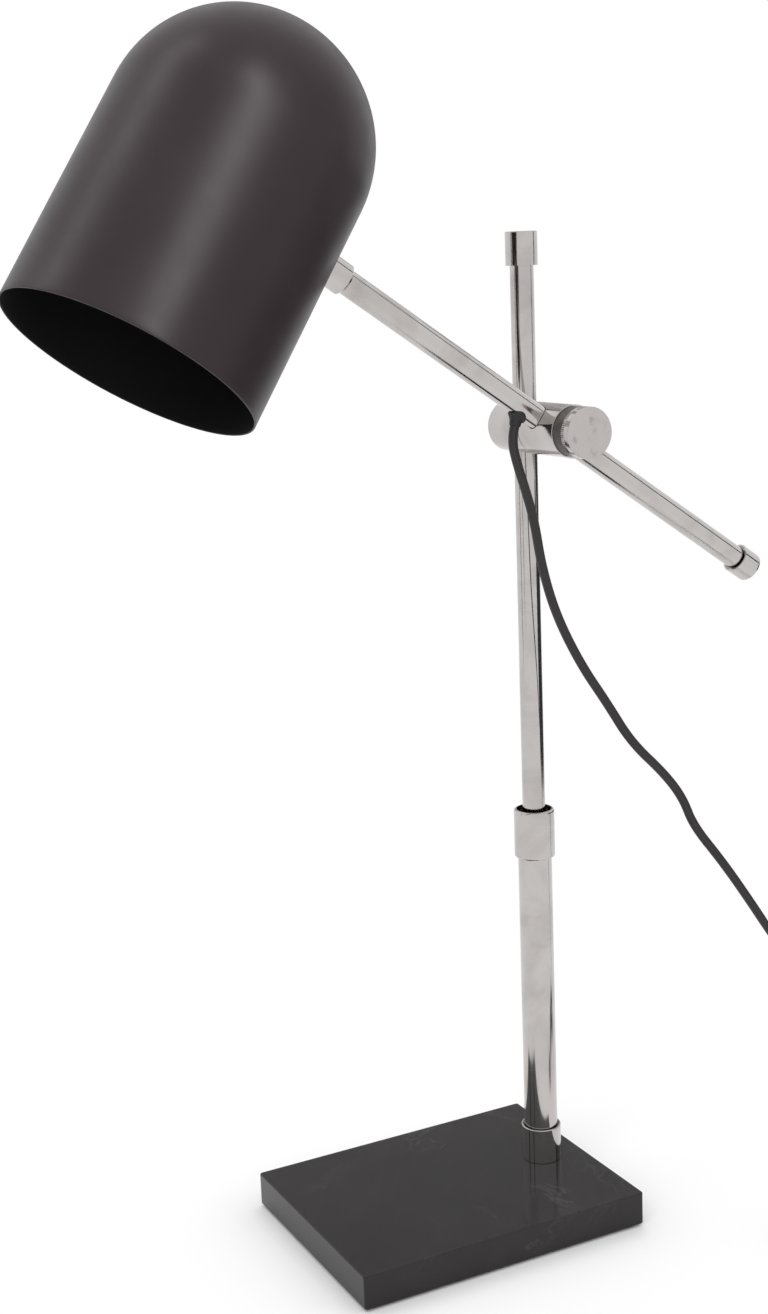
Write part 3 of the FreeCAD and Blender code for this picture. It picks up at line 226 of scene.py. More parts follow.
# ---- Shaders ----
class Shader:
    """Node tree of one finish: a Principled shader fed by patterns on Object coordinates."""

    def __init__(self, name: str, on_map: bool = False) -> None:
        """Starts a material.

        Args:
            name: the material's name.
            on_map: read the piece's UV map and not Object coordinates.
        """
        self.material = bpy.data.materials.new(name)
        self.material.use_nodes = True
        self.nodes = self.material.node_tree.nodes
        self.links = self.material.node_tree.links
        self.surface = self.nodes["Principled BSDF"]
        source = self.nodes.new("ShaderNodeTexCoord")
        self.where = source.outputs["UV" if on_map else "Object"]

    def set(self, **values: float | Colour) -> None:
        """Sets even values on the shader's own sockets, named with underscores for spaces."""
        for key, value in values.items():
            socket = self.surface.inputs[key.replace("_", " ")]
            socket.default_value = (*value, 1.0) if isinstance(value, tuple) else value

    def feed(self, key: str, output: bpy.types.NodeSocket) -> None:
        """Links a pattern to one of the shader's sockets."""
        self.links.new(output, self.surface.inputs[key])

    def mapped(self, turn: Point = (0, 0, 0), scale: Point = (1, 1, 1)) -> bpy.types.NodeSocket:
        """Coordinates turned (in radians) and then stretched."""
        first = self.nodes.new("ShaderNodeMapping")
        first.vector_type = "POINT"
        first.inputs["Rotation"].default_value = turn
        self.links.new(self.where, first.inputs["Vector"])
        second = self.nodes.new("ShaderNodeMapping")
        second.inputs["Scale"].default_value = scale
        self.links.new(first.outputs[0], second.inputs["Vector"])
        return second.outputs[0]

    def noise(
        self, scale: float, detail: float = 3.0, warp: float = 0.0, rough: float = 0.55,
        vector: bpy.types.NodeSocket | None = None,
    ) -> bpy.types.NodeSocket:
        """Cloudy pattern; scale is in clouds per metre, warp bends it."""
        node = self.nodes.new("ShaderNodeTexNoise")
        node.inputs["Scale"].default_value = scale
        node.inputs["Detail"].default_value = detail
        node.inputs["Roughness"].default_value = rough
        node.inputs["Distortion"].default_value = warp
        self.links.new(vector or self.where, node.inputs["Vector"])
        return node.outputs["Fac"]

    def ramp(
        self, value: bpy.types.NodeSocket, stops: list[tuple[float, float | Colour]]
    ) -> bpy.types.NodeSocket:
        """Colours or grey levels along a pattern's value."""
        node = self.nodes.new("ShaderNodeValToRGB")
        elements = node.color_ramp.elements
        while len(elements) < len(stops):
            elements.new(0.5)
        for element, (at, colour) in zip(elements, stops):
            element.position = at
            level = colour if isinstance(colour, tuple) else (colour,) * 3
            element.color = (*level, 1.0)
        self.links.new(value, node.inputs["Fac"])
        return node.outputs["Color"]

    def mixed(
        self, share: bpy.types.NodeSocket, low: bpy.types.NodeSocket | Colour,
        high: bpy.types.NodeSocket | Colour,
    ) -> bpy.types.NodeSocket:
        """Two colours mixed by a share."""
        node = self.nodes.new("ShaderNodeMix")
        node.data_type = "RGBA"
        self.links.new(share, node.inputs["Factor"])
        for socket, value in ((node.inputs[6], low), (node.inputs[7], high)):
            if isinstance(value, tuple):
                socket.default_value = (*value, 1.0)
            else:
                self.links.new(value, socket)
        return node.outputs[2]

    def maths(self, how: str, *values: bpy.types.NodeSocket | float) -> bpy.types.NodeSocket:
        """Arithmetic of two or three values."""
        node = self.nodes.new("ShaderNodeMath")
        node.operation = how
        for socket, value in zip(node.inputs, values):
            if isinstance(value, (int, float)):
                socket.default_value = value
            else:
                self.links.new(value, socket)
        return node.outputs[0]

    def vector(
        self, how: str, first: bpy.types.NodeSocket, second: bpy.types.NodeSocket | np.ndarray
    ) -> bpy.types.Node:
        """Vector arithmetic of a vector with a vector or a constant one."""
        node = self.nodes.new("ShaderNodeVectorMath")
        node.operation = how
        self.links.new(first, node.inputs[0])
        if isinstance(second, np.ndarray):
            node.inputs[1].default_value = tuple(second)
        else:
            self.links.new(second, node.inputs[1])
        return node

    def along(self, origin: np.ndarray, axis: np.ndarray) -> bpy.types.NodeSocket:
        """Distance from a point along a direction: (position - origin) . axis."""
        away = self.vector("SUBTRACT", self.where, origin).outputs[0]
        return self.vector("DOT_PRODUCT", away, axis).outputs["Value"]

    def bump(self, layers: list[tuple[bpy.types.NodeSocket, float]]) -> None:
        """Chains bump nodes, one a layer, each with its height in metres."""
        normal = None
        for pattern, height in layers:
            node = self.nodes.new("ShaderNodeBump")
            node.inputs["Strength"].default_value = 1.0
            node.inputs["Distance"].default_value = height
            self.links.new(pattern, node.inputs["Height"])
            if normal is not None:
                self.links.new(normal, node.inputs["Normal"])
            normal = node.outputs[0]
        self.feed("Normal", normal)


class Grain(Enum):
    """Turn that brings a piece's own axis onto Z, for patterns drawn out along it."""

    POST = (0.0, 0.0, 0.0)
    HUB = (math.pi / 2, 0.0, 0.0)
    ARM = (0.0, math.pi / 2 - ARM_SLOPE, 0.0)


@dataclass(frozen=True)
class PolishedNickel:
    """Polished nickel plate: fine lines along the piece, soft smears and hairline scratches."""

    name: str = "nickel"
    grain: Grain = Grain.POST
    colour: Colour = (0.535, 0.508, 0.498)
    smear_colour: Colour = (0.43, 0.405, 0.395)
    roughness: tuple[float, float] = (0.07, 0.16)

    def shader(self) -> Shader:
        """Node tree of the plate."""
        look = Shader(self.name)
        look.set(Metallic=1.0)
        smears = look.noise(42.0, 4.0, 0.6)
        drawn = look.mapped(self.grain.value, (1.0, 1.0, 0.03))
        lines = look.noise(2600.0, 2.0, 0.0, 0.6, drawn)
        share = look.ramp(smears, [(0.42, 0.0), (0.72, 1.0)])
        look.feed("Base Color", look.mixed(share, self.colour, self.smear_colour))
        low, high = self.roughness
        shine = look.ramp(smears, [(0.35, low), (0.75, high)])
        look.feed("Roughness", look.maths("MULTIPLY_ADD", lines, 0.03, shine))
        look.bump([(look.noise(30.0, 1.0), 0.00006), (lines, 0.0000012)])
        return look

    def build(self) -> bpy.types.Material:
        """The plate's material."""
        return self.shader().material


@dataclass(frozen=True)
class KnobNickel(PolishedNickel):
    """Nickel of the knob: polished round the rim, satin and a little smudged on its face."""

    name: str = "knob_nickel"
    grain: Grain = Grain.HUB
    face_at: float = 0.0623
    face_colour: Colour = (0.53, 0.50, 0.49)
    smudge_colour: Colour = (0.42, 0.395, 0.39)
    satin: float = 0.32

    def build(self) -> bpy.types.Material:
        """The knob's material: the face starts where -Y passes face_at."""
        look = self.shader()
        ahead = look.along(np.zeros(3), -Y)
        face = look.maths("GREATER_THAN", ahead, self.face_at)
        rim_colour = look.surface.inputs["Base Color"].links[0].from_socket
        rim_shine = look.surface.inputs["Roughness"].links[0].from_socket
        smudges = look.noise(170.0, 1.5, 0.2)
        share = look.ramp(smudges, [(0.6, 0.0), (0.72, 1.0)])
        flat = look.mixed(share, self.face_colour, self.smudge_colour)
        look.feed("Base Color", look.mixed(face, rim_colour, flat))
        matt = look.ramp(smudges, [(0.3, self.satin), (0.8, self.satin + 0.12)])
        look.feed("Roughness", look.mixed(face, rim_shine, matt))
        return look.material


@dataclass(frozen=True)
class BlackMarble:
    """Polished black marble with faint, thin grey veins and small pits."""

    name: str = "stone"
    ground: Colour = (0.0100, 0.0076, 0.0092)
    cloud: Colour = (0.0152, 0.0120, 0.0140)
    vein: Colour = (0.11, 0.105, 0.11)

    def build(self) -> bpy.types.Material:
        """Veins are where a warped cloud passes its middle value."""
        look = Shader(self.name)
        look.set(Specular_IOR_Level=0.37)
        clouds = look.noise(16.0, 6.0, 1.0)
        ground = look.mixed(look.ramp(clouds, [(0.4, 0.0), (0.7, 1.0)]), self.ground, self.cloud)
        warped = look.noise(9.0, 8.0, 2.6, 0.62)
        middle = look.ramp(warped, [(0.485, 0.0), (0.5, 1.0), (0.515, 0.0)])
        patches = look.ramp(look.noise(13.0, 3.0), [(0.5, 0.0), (0.66, 1.0)])
        share = look.maths("MULTIPLY", middle, patches)
        look.feed("Base Color", look.mixed(look.maths("MULTIPLY", share, 0.3), ground, self.vein))
        look.feed("Roughness", look.ramp(look.noise(60.0, 4.0), [(0.3, 0.10), (0.8, 0.135)]))
        pits = look.ramp(look.noise(900.0, 2.0), [(0.2, 0.0), (0.34, 1.0)])
        look.bump([(look.noise(24.0, 2.0), 0.000012), (pits, 0.00001)])
        return look.material


@dataclass(frozen=True)
class ShadePaint:
    """Matt dark paint outside the shade and black inside, with a lighter colour painted along the
    rim as a highlight.
    """

    name: str = "shade_paint"
    outside: Colour = (0.0190, 0.0125, 0.0148)
    outside_dark: Colour = (0.0160, 0.0105, 0.0124)
    inside: Colour = (0.0008, 0.0007, 0.0007)
    # rim: the colour of the highlight painted along the lip.
    rim: Colour = (0.055, 0.048, 0.048)
    wall_middle: float = 0.0645
    rim_from: float = 0.11755

    def build(self) -> bpy.types.Material:
        """Inside is where the distance to the shade's axis, or to the dome's centre above the
        spring, is less than the wall's middle; the rim is the last part along the axis."""
        look = Shader(self.name)
        look.set(Specular_IOR_Level=0.22)
        centre, axis = SHADE.origin, SHADE.axes[2]
        height = look.along(centre, axis)
        below = look.maths("MAXIMUM", height, 0.0)
        away = look.vector("SUBTRACT", look.where, centre).outputs[0]
        scaled = look.nodes.new("ShaderNodeVectorMath")
        scaled.operation = "SCALE"
        scaled.inputs[0].default_value = tuple(axis)
        look.links.new(below, scaled.inputs["Scale"])
        across = look.vector("SUBTRACT", away, scaled.outputs[0]).outputs[0]
        radius = look.vector("LENGTH", across, np.zeros(3)).outputs["Value"]
        outer = look.maths("GREATER_THAN", radius, self.wall_middle)
        clouds = look.ramp(look.noise(26.0, 3.0), [(0.35, 0.0), (0.7, 1.0)])
        skin = look.mixed(clouds, self.outside_dark, self.outside)
        # The rim's band is a painted highlight: a lighter colour, in patches, along the lip.
        rim = look.maths("GREATER_THAN", height, self.rim_from)
        patches = look.ramp(look.noise(160.0, 3.0), [(0.3, 0.4), (0.7, 1.0)])
        rim_highlight = look.maths("MULTIPLY", rim, patches)
        both = look.mixed(outer, self.inside, skin)
        look.feed("Base Color", look.mixed(rim_highlight, both, self.rim))
        matt = look.ramp(look.noise(70.0, 3.0), [(0.3, 0.34), (0.75, 0.40)])
        look.feed("Roughness", look.mixed(outer, (0.62, 0.62, 0.62), matt))
        look.bump([(look.noise(2400.0, 2.0), 0.000012), (look.noise(34.0, 2.0), 0.00005)])
        return look.material


@dataclass(frozen=True)
class Moulded:
    """Moulded plastic or rubber: an even dark skin with a fine texture and soft variation."""

    name: str
    colour: Colour
    second: Colour
    roughness: tuple[float, float]
    texture: float = 1400.0
    depth: float = 0.000008

    def build(self) -> bpy.types.Material:
        """Two close colours in clouds, and a fine bump."""
        look = Shader(self.name)
        clouds = look.ramp(look.noise(90.0, 3.0), [(0.35, 0.0), (0.7, 1.0)])
        look.feed("Base Color", look.mixed(clouds, self.colour, self.second))
        low, high = self.roughness
        look.feed("Roughness", look.ramp(look.noise(240.0, 3.0), [(0.3, low), (0.75, high)]))
        look.bump([(look.noise(self.texture, 2.0), self.depth)])
        return look.material


@dataclass(frozen=True)
class CordSheath:
    """Extruded cord sheath: faint lines along the cord, and slow changes in its gloss."""

    name: str = "cord"
    colour: Colour = (0.020, 0.0160, 0.0168)
    second: Colour = (0.030, 0.0245, 0.0255)

    def build(self) -> bpy.types.Material:
        """The pattern follows the cord's map: U in metres along it, V round it."""
        look = Shader(self.name, on_map=True)
        drawn = look.mapped(scale=(8.0, 26.0, 1.0))
        lines = look.noise(1.0, 3.0, 0.0, 0.6, drawn)
        share = look.ramp(lines, [(0.35, 0.0), (0.7, 1.0)])
        look.feed("Base Color", look.mixed(share, self.colour, self.second))
        slow = look.noise(1.0, 2.0, 0.0, 0.5, look.mapped(scale=(30.0, 2.0, 1.0)))
        look.set(Specular_IOR_Level=0.38)
        look.feed("Roughness", look.ramp(slow, [(0.3, 0.46), (0.75, 0.6)]))
        look.bump([(lines, 0.00006)])
        return look.material


@dataclass(frozen=True)
class Metal:
    """Plain inner metal: steel, brass or aluminium with brushed lines and dull patches."""

    name: str
    colour: Colour
    dull: Colour
    roughness: tuple[float, float] = (0.24, 0.42)

    def build(self) -> bpy.types.Material:
        """Clouds of dull metal over brushed lines."""
        look = Shader(self.name)
        look.set(Metallic=1.0)
        share = look.ramp(look.noise(150.0, 4.0, 0.4), [(0.4, 0.0), (0.75, 1.0)])
        look.feed("Base Color", look.mixed(share, self.colour, self.dull))
        low, high = self.roughness
        look.feed("Roughness", look.ramp(look.noise(300.0, 3.0), [(0.3, low), (0.75, high)]))
        lines = look.noise(3000.0, 2.0, 0.0, 0.6, look.mapped(scale=(1.0, 1.0, 0.04)))
        look.bump([(lines, 0.000004)])
        return look.material


@dataclass(frozen=True)
class Felt:
    """Pressed black felt: short tangled fibres with a soft sheen."""

    name: str = "felt"
    colour: Colour = (0.018, 0.018, 0.019)
    fibre: Colour = (0.075, 0.075, 0.078)

    def build(self) -> bpy.types.Material:
        """Fine warped clouds stand for the fibres."""
        look = Shader(self.name)
        look.set(Sheen_Weight=0.4, Sheen_Roughness=0.6, Roughness=0.95)
        fibres = look.noise(2600.0, 5.0, 2.0, 0.7)
        share = look.ramp(fibres, [(0.45, 0.0), (0.75, 1.0)])
        look.feed("Base Color", look.mixed(share, self.colour, self.fibre))
        look.bump([(fibres, 0.00025)])
        return look.material


@dataclass(frozen=True)
class Glazed:
    """Smooth pale ceramic or opal glass with a faint unevenness."""

    name: str
    colour: Colour
    second: Colour
    roughness: tuple[float, float] = (0.08, 0.16)
    coat: float = 0.4

    def build(self) -> bpy.types.Material:
        """Two close colours in slow clouds under a clear coat."""
        look = Shader(self.name)
        look.set(Coat_Weight=self.coat, Coat_Roughness=0.05)
        share = look.ramp(look.noise(60.0, 3.0), [(0.35, 0.0), (0.7, 1.0)])
        look.feed("Base Color", look.mixed(share, self.colour, self.second))
        low, high = self.roughness
        look.feed("Roughness", look.ramp(look.noise(120.0, 2.0), [(0.3, low), (0.7, high)]))
        look.bump([(look.noise(90.0, 2.0), 0.00003)])
        return look.material


@dataclass
class Paintbox:
    """Every finish of the lamp, built once and given to pieces by name."""

    made: dict[str, bpy.types.Material] = field(default_factory=dict)

    def finishes(self) -> list:
        """All finishes, each named for a slot of the record or for one group of nodes."""
        steel = ((0.50, 0.50, 0.51), (0.36, 0.36, 0.37))
        brass = ((0.62, 0.45, 0.20), (0.46, 0.32, 0.14))
        return [
            PolishedNickel(),
            PolishedNickel("nickel_arm", Grain.ARM),
            PolishedNickel("nickel_hub", Grain.HUB),
            KnobNickel(),
            BlackMarble(),
            ShadePaint(),
            Felt(),
            CordSheath(),
            Metal("steel", *steel),
            Metal("brass", *brass),
            Metal("aluminium", (0.62, 0.62, 0.63), (0.48, 0.48, 0.49)),
            Moulded("nylon", (0.10, 0.10, 0.098), (0.13, 0.13, 0.127), (0.4, 0.55)),
            # The spacer ring by the knob gets a dark colour that paints in the dark reflection it
            # shows.
            Moulded("dark_ring", (0.045, 0.038, 0.036), (0.075, 0.065, 0.062), (0.34, 0.48)),
            Moulded("rubber", (0.008, 0.0075, 0.0078), (0.013, 0.012, 0.0125), (0.46, 0.6)),
            Moulded("holder_plastic", (0.02, 0.02, 0.021), (0.028, 0.028, 0.029), (0.2, 0.32)),
            Moulded("black_plastic", (0.018, 0.018, 0.019), (0.026, 0.026, 0.027), (0.26, 0.38)),
            Glazed("ceramic", (0.78, 0.76, 0.70), (0.70, 0.68, 0.62)),
            Glazed("opal_glass", (0.86, 0.85, 0.82), (0.80, 0.79, 0.76)),
        ]

    def mix(self) -> None:
        """Builds every finish."""
        self.made = {finish.name: finish.build() for finish in self.finishes()}

    def dress(self, piece: bpy.types.Object, name: str) -> None:
        """Gives a new piece one finish, by name."""
        piece.data.materials.append(self.made[name])

    def dress_node(self, node: str, name: str) -> None:
        """Gives a CAD node one finish, by assigning to its object's material slots."""
        for slot in frame["nodes"][node].material_slots:
            slot.material = self.made[name]


# ---- Cords ----
CORD_DIAMETER = 0.005
CORD_EXIT = (0.038116, -0.030026, 0.448199)
DROP_ROUTE = [
    (0.0360, -0.0304, 0.4414), (0.0379, -0.0310, 0.4306), (0.0430, -0.0320, 0.4138),
    (0.0471, -0.0330, 0.3977), (0.0502, -0.0340, 0.3742), (0.0576, -0.0355, 0.3473),
    (0.0719, -0.0370, 0.3185), (0.0872, -0.0385, 0.2957), (0.1019, -0.0395, 0.2718),
    (0.1230, -0.0405, 0.2511), (0.1353, -0.0412, 0.2348), (0.1415, -0.0420, 0.2182),
    (0.1609, -0.0430, 0.1938), (0.1786, -0.0440, 0.1686), (0.1961, -0.0450, 0.1423),
    (0.2125, -0.0450, 0.1210), (0.2360, -0.0440, 0.0955), (0.2630, -0.0425, 0.0680),
    (0.2900, -0.0410, 0.0435), (0.3130, -0.0415, 0.0255), (0.3310, -0.0460, 0.0130),
    (0.3425, -0.0560, 0.0055), (0.3491, -0.0710, 0.00255),
]
PLUG_ROUTE = [
    (0.2275, -0.1291, 0.0080), (0.2200, -0.1291, 0.0080), (0.2143, -0.1291, 0.0080),
    (0.2057, -0.1291, 0.0070), (0.2000, -0.1291, 0.0070), (0.1915, -0.1291, 0.0070),
]
SWITCH_NODES = ("switch_base", "switch_lid", "switch_screws", "switch_rocker")


@dataclass
class Coil:
    """The put-away length of the cord: two flat layers of turns, in and out again."""

    middle: tuple[float, float] = (0.3120, -0.0920)
    outer: float = 0.0371
    step: float = 0.00545
    layer: float = 0.00545
    turns: float = 6.25
    climb: float = 0.5
    rest: float = 0.00255
    end_run: float = 0.005
    points_a_turn: int = 24

    def points(self) -> np.ndarray:
        """Control points: the radius shrinks by a step each turn up to the reversal and grows
        again, and the height climbs one layer there on a smooth S.

        Returns:
            Array of points, with the straight runs at both ends.
        """
        turn = np.linspace(0, self.turns, round(self.points_a_turn * self.turns) + 1)
        angle = -2 * math.pi * turn
        radius = self.outer - self.step * np.minimum(turn, self.turns - turn)
        share = np.clip((turn - self.turns / 2) / self.climb + 0.5, 0, 1)
        height = self.rest + self.layer * share**2 * (3 - 2 * share)
        x = self.middle[0] + radius * np.cos(angle)
        y = self.middle[1] + radius * np.sin(angle)
        wound = np.stack([x, y, height], axis=-1)
        start = wound[0] + (0, self.end_run, 0)
        end = wound[-1] - (self.end_run, 0, 0)
        return np.concatenate([[start], wound, [end]])


@dataclass
class CordLine:
    """A cord's centre line: a NURBS spline through its route's control points."""

    name: str
    route: np.ndarray

    def centre_line(self) -> np.ndarray:
        """Points read back from the spline, a millimetre or two apart.

        Returns:
            Array of points in the row's frame.
        """
        data = bpy.data.curves.new(self.name, "CURVE")
        data.dimensions = "3D"
        data.resolution_u = 8
        spline = data.splines.new("NURBS")
        spline.points.add(len(self.route) - 1)
        weighted = np.concatenate([self.route, np.ones((len(self.route), 1))], axis=1)
        spline.points.foreach_set("co", weighted.ravel())
        spline.order_u = 3
        spline.use_endpoint_u = True
        bare = bpy.data.objects.new(self.name, data)
        bpy.context.scene.collection.objects.link(bare)
        bpy.context.view_layer.update()
        mesh = bpy.data.meshes.new_from_object(bare)
        points = np.zeros(len(mesh.vertices) * 3)
        mesh.vertices.foreach_get("co", points)
        bpy.data.objects.remove(bare)
        bpy.data.curves.remove(data)
        bpy.data.meshes.remove(mesh)
        return points.reshape(-1, 3)


def cord_skin(
    name: str, centre: np.ndarray, upright_from: tuple[float, float], columns: int = 20
) -> Skin:
    """Round tube along a centre line: centre + r cos a N + r sin a B.

    N is a fixed direction less its part along the line: -Y where the cord hangs, and turning
    smoothly to Z where it lies. B is the line's direction cross N.

    Args:
        name: the skin's name.
        centre: points of the line.
        upright_from: lengths along the line between which N's direction turns from -Y to Z.
        columns: number of columns round the tube.

    Returns:
        The tube's skin.
    """
    ahead = np.gradient(centre, axis=0)
    ahead /= np.linalg.norm(ahead, axis=1, keepdims=True)
    along = run_length(centre)
    start, end = upright_from
    share = np.clip((along - start) / max(end - start, 1e-6), 0, 1)[:, None]
    fixed = -Y * (1 - share) + Z * share
    normal = fixed - (fixed * ahead).sum(axis=1, keepdims=True) * ahead
    normal /= np.linalg.norm(normal, axis=1, keepdims=True)
    beside = np.cross(ahead, normal)
    angle = np.arange(columns) * 2 * math.pi / columns
    ring = normal[:, None] * np.cos(angle)[:, None] + beside[:, None] * np.sin(angle)[:, None]
    grid = centre[:, None] + ring * CORD_DIAMETER / 2
    return Skin(name, grid, lengthwise=along)


@dataclass
class MainsCord:
    """The cord from the arm's grommet to the plug, with its coil and switch.

    Its first stretches are cut where the cord passes the clamp's joints, one piece each.
    """

    paint: Paintbox
    coil: Coil = field(default_factory=Coil)
    switch_end: Point = (0.2790, -0.1291, 0.0080)
    switch_sleeve: tuple[Point, float] = ((0.2810, -0.1291, 0.0080), 0.0200)
    plug_sleeve: tuple[Point, float] = ((0.2230, -0.1291, 0.0080), 0.0075)
    lies_down: tuple[float, float] = (0.36, 0.50)
    lies_already: tuple[float, float] = (-1.0, -0.5)
    joints_passed: tuple[tuple[str, str, str, float], ...] = (
        ("cord_from_arm", "arm", "arm_liner", 0.031),
        ("cord_past_liner", "arm_liner", "front_clamp", 0.063),
        ("cord_past_hub", "front_clamp", "rear_clamp", 0.110),
        ("cord_past_post", "rear_clamp", "post_liner", 0.200),
        ("cord_hanging", "post_liner", "base", 0.500),
    )

    def build(self) -> None:
        """Builds the cord to the switch in stretches, and the short cord to the plug."""
        route = np.concatenate(
            [[CORD_EXIT], DROP_ROUTE, self.coil.points(), [self.switch_end]]
        )
        centre = CordLine("cord_route", route).centre_line()
        whole = cord_skin("cord", centre, self.lies_down)
        along = run_length(centre)
        start = 0
        for name, upper, lower, until in self.joints_passed:
            end = int(np.searchsorted(along, until))
            piece = self._stretch(name, whole, start, end)
            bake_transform(piece)
            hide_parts("cord_drop")
            start = end
        rest = self._stretch("cord_coiled", whole, start, len(centre) - 1)
        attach(rest, "base")
        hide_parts("cord_drop", "cord_coil", "switch_cord")
        start_at, sleeve_length = self.switch_sleeve
        sleeve = Sleeve("switch_sleeve", start_at, 1.0, sleeve_length)
        on_switch = [frame["nodes"][node] for node in SWITCH_NODES]
        with_switch = [sleeve.build(self.paint), *on_switch]
        self._plug_cord()
        LOG.info("cord: %.3f m from the grommet to the switch", along[-1])

    def _stretch(self, name: str, whole: Skin, start: int, end: int) -> bpy.types.Object:
        """One stretch of the cord as a piece of its own."""
        part = slice(start, end + 1)
        skin = Skin(name, whole.points[part], lengthwise=whole.lengthwise[part])
        piece = skin.build()
        self.paint.dress(piece, "cord")
        return piece

    def _plug_cord(self) -> None:
        """The short cord from the switch to the plug."""
        centre = CordLine("plug_route", np.array(PLUG_ROUTE)).centre_line()
        piece = cord_skin("cord_to_plug", centre, self.lies_already).build()
        self.paint.dress(piece, "cord")
        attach(piece, "base")
        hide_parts("plug_cord")
        start_at, sleeve_length = self.plug_sleeve
        sleeve = Sleeve("plug_side_sleeve", start_at, -1.0, sleeve_length)
        on_plug = [sleeve.build(self.paint), Plug(self.paint).build(), frame["nodes"]["plug_pins"]]


@dataclass
class Grommet:
    """Rubber grommet under the arm: a thin saddle-shaped flange and a short nose round the cord."""

    paint: Paintbox
    at: float = 24.0
    tube_radius: float = 6.35
    rows_a_station: int = 5
    stations: tuple[tuple[float, float, float, float], ...] = (
        (3.0, 0.10, 0.0, 1.0), (4.9, 0.10, 0.0, 1.0), (5.05, 0.35, 0.0, 1.0),
        (5.0, 0.75, 0.0, 1.0), (4.7, 1.10, 0.0, 1.0), (4.1, 1.35, 0.2, 0.8),
        (3.7, 1.60, 0.6, 0.5), (3.4, 2.00, 1.0, 0.1), (3.25, 2.60, 1.0, 0.0),
        (3.1, 3.80, 1.0, 0.0), (2.95, 4.60, 1.0, 0.0), (2.7, 4.90, 1.0, 0.0),
    )

    def rings(self, columns: int = 64) -> np.ndarray:
        """Rings of radius r, each at a height along a direction that turns from straight out of the
        arm to the cord's: centre + r cos a A + r sin a B, less the tube's own drop at r sin a.

        Args:
            columns: points round each ring.

        Returns:
            Array of points in the row's frame.
        """
        table = np.array(self.stations)
        steps = np.linspace(0, len(table) - 1, self.rows_a_station * (len(table) - 1) + 1)
        radius, height, turn, saddle = (
            np.interp(steps, np.arange(len(table)), column)[:, None] for column in table.T
        )
        out = ARM.axes[0]
        seat = ARM.put(np.array([self.tube_radius, 0, self.at]) * MM)
        cord_way = (np.array(CORD_EXIT) - seat) / np.linalg.norm(np.array(CORD_EXIT) - seat)
        ahead = out * (1 - turn) + cord_way * turn
        ahead /= np.linalg.norm(ahead, axis=1, keepdims=True)
        first = ARM.axes[2] - (ahead @ ARM.axes[2])[:, None] * ahead
        first /= np.linalg.norm(first, axis=1, keepdims=True)
        second = np.cross(ahead, first)
        angle = np.arange(columns) * 2 * math.pi / columns
        drop = self.tube_radius - np.sqrt(self.tube_radius**2 - (radius * np.sin(angle)) ** 2)
        ring = first[:, None] * (radius * np.cos(angle))[..., None]
        ring = ring + second[:, None] * (radius * np.sin(angle))[..., None]
        ring = ring + (ahead * height)[:, None] - (saddle * drop)[..., None] * out
        return seat + ring * MM

    def build(self) -> None:
        """Builds the grommet in place of its plain solid."""
        piece = Skin("grommet_moulding", self.rings()).build()
        self.paint.dress(piece, "rubber")
        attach(piece, "arm")
        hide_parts("cord_grommet")


@dataclass
class Sleeve:
    """Ribbed rubber sleeve, wide at a housing and drawn in to the cord."""

    name: str
    start: Point
    ahead: float
    length: float
    wide: float = 0.0043
    narrow: float = 0.0029
    rib: float = 0.00025
    rib_pitch: float = 0.0025
    inside: float = 0.002
    tip_radius: float = 0.0026
    tip_length: float = 0.0003
    rows_a_rib: int = 8
    columns: int = 48

    def build(self, paint: Paintbox) -> bpy.types.Object:
        """Turned about X: the radius goes evenly from wide to narrow, plus a rib's cosine."""
        rows = self.rows_a_rib * round(self.length / self.rib_pitch)
        s = np.linspace(0, 1, rows + 1) * (self.length + self.inside) - self.inside
        share = np.clip(s / self.length, 0, 1)
        radius = self.wide + (self.narrow - self.wide) * share
        radius = radius + self.rib * np.cos(2 * math.pi * s / self.rib_pitch) * (1 - share**6)
        tip = np.array([(self.tip_radius, self.length + self.tip_length)])
        profile = np.concatenate([np.stack([radius, s], axis=-1), tip])
        where = place(self.start, Y, X * self.ahead)
        piece = turned(self.name, profile, where, self.columns)
        paint.dress(piece, "rubber")
        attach(piece, "base")
        return piece


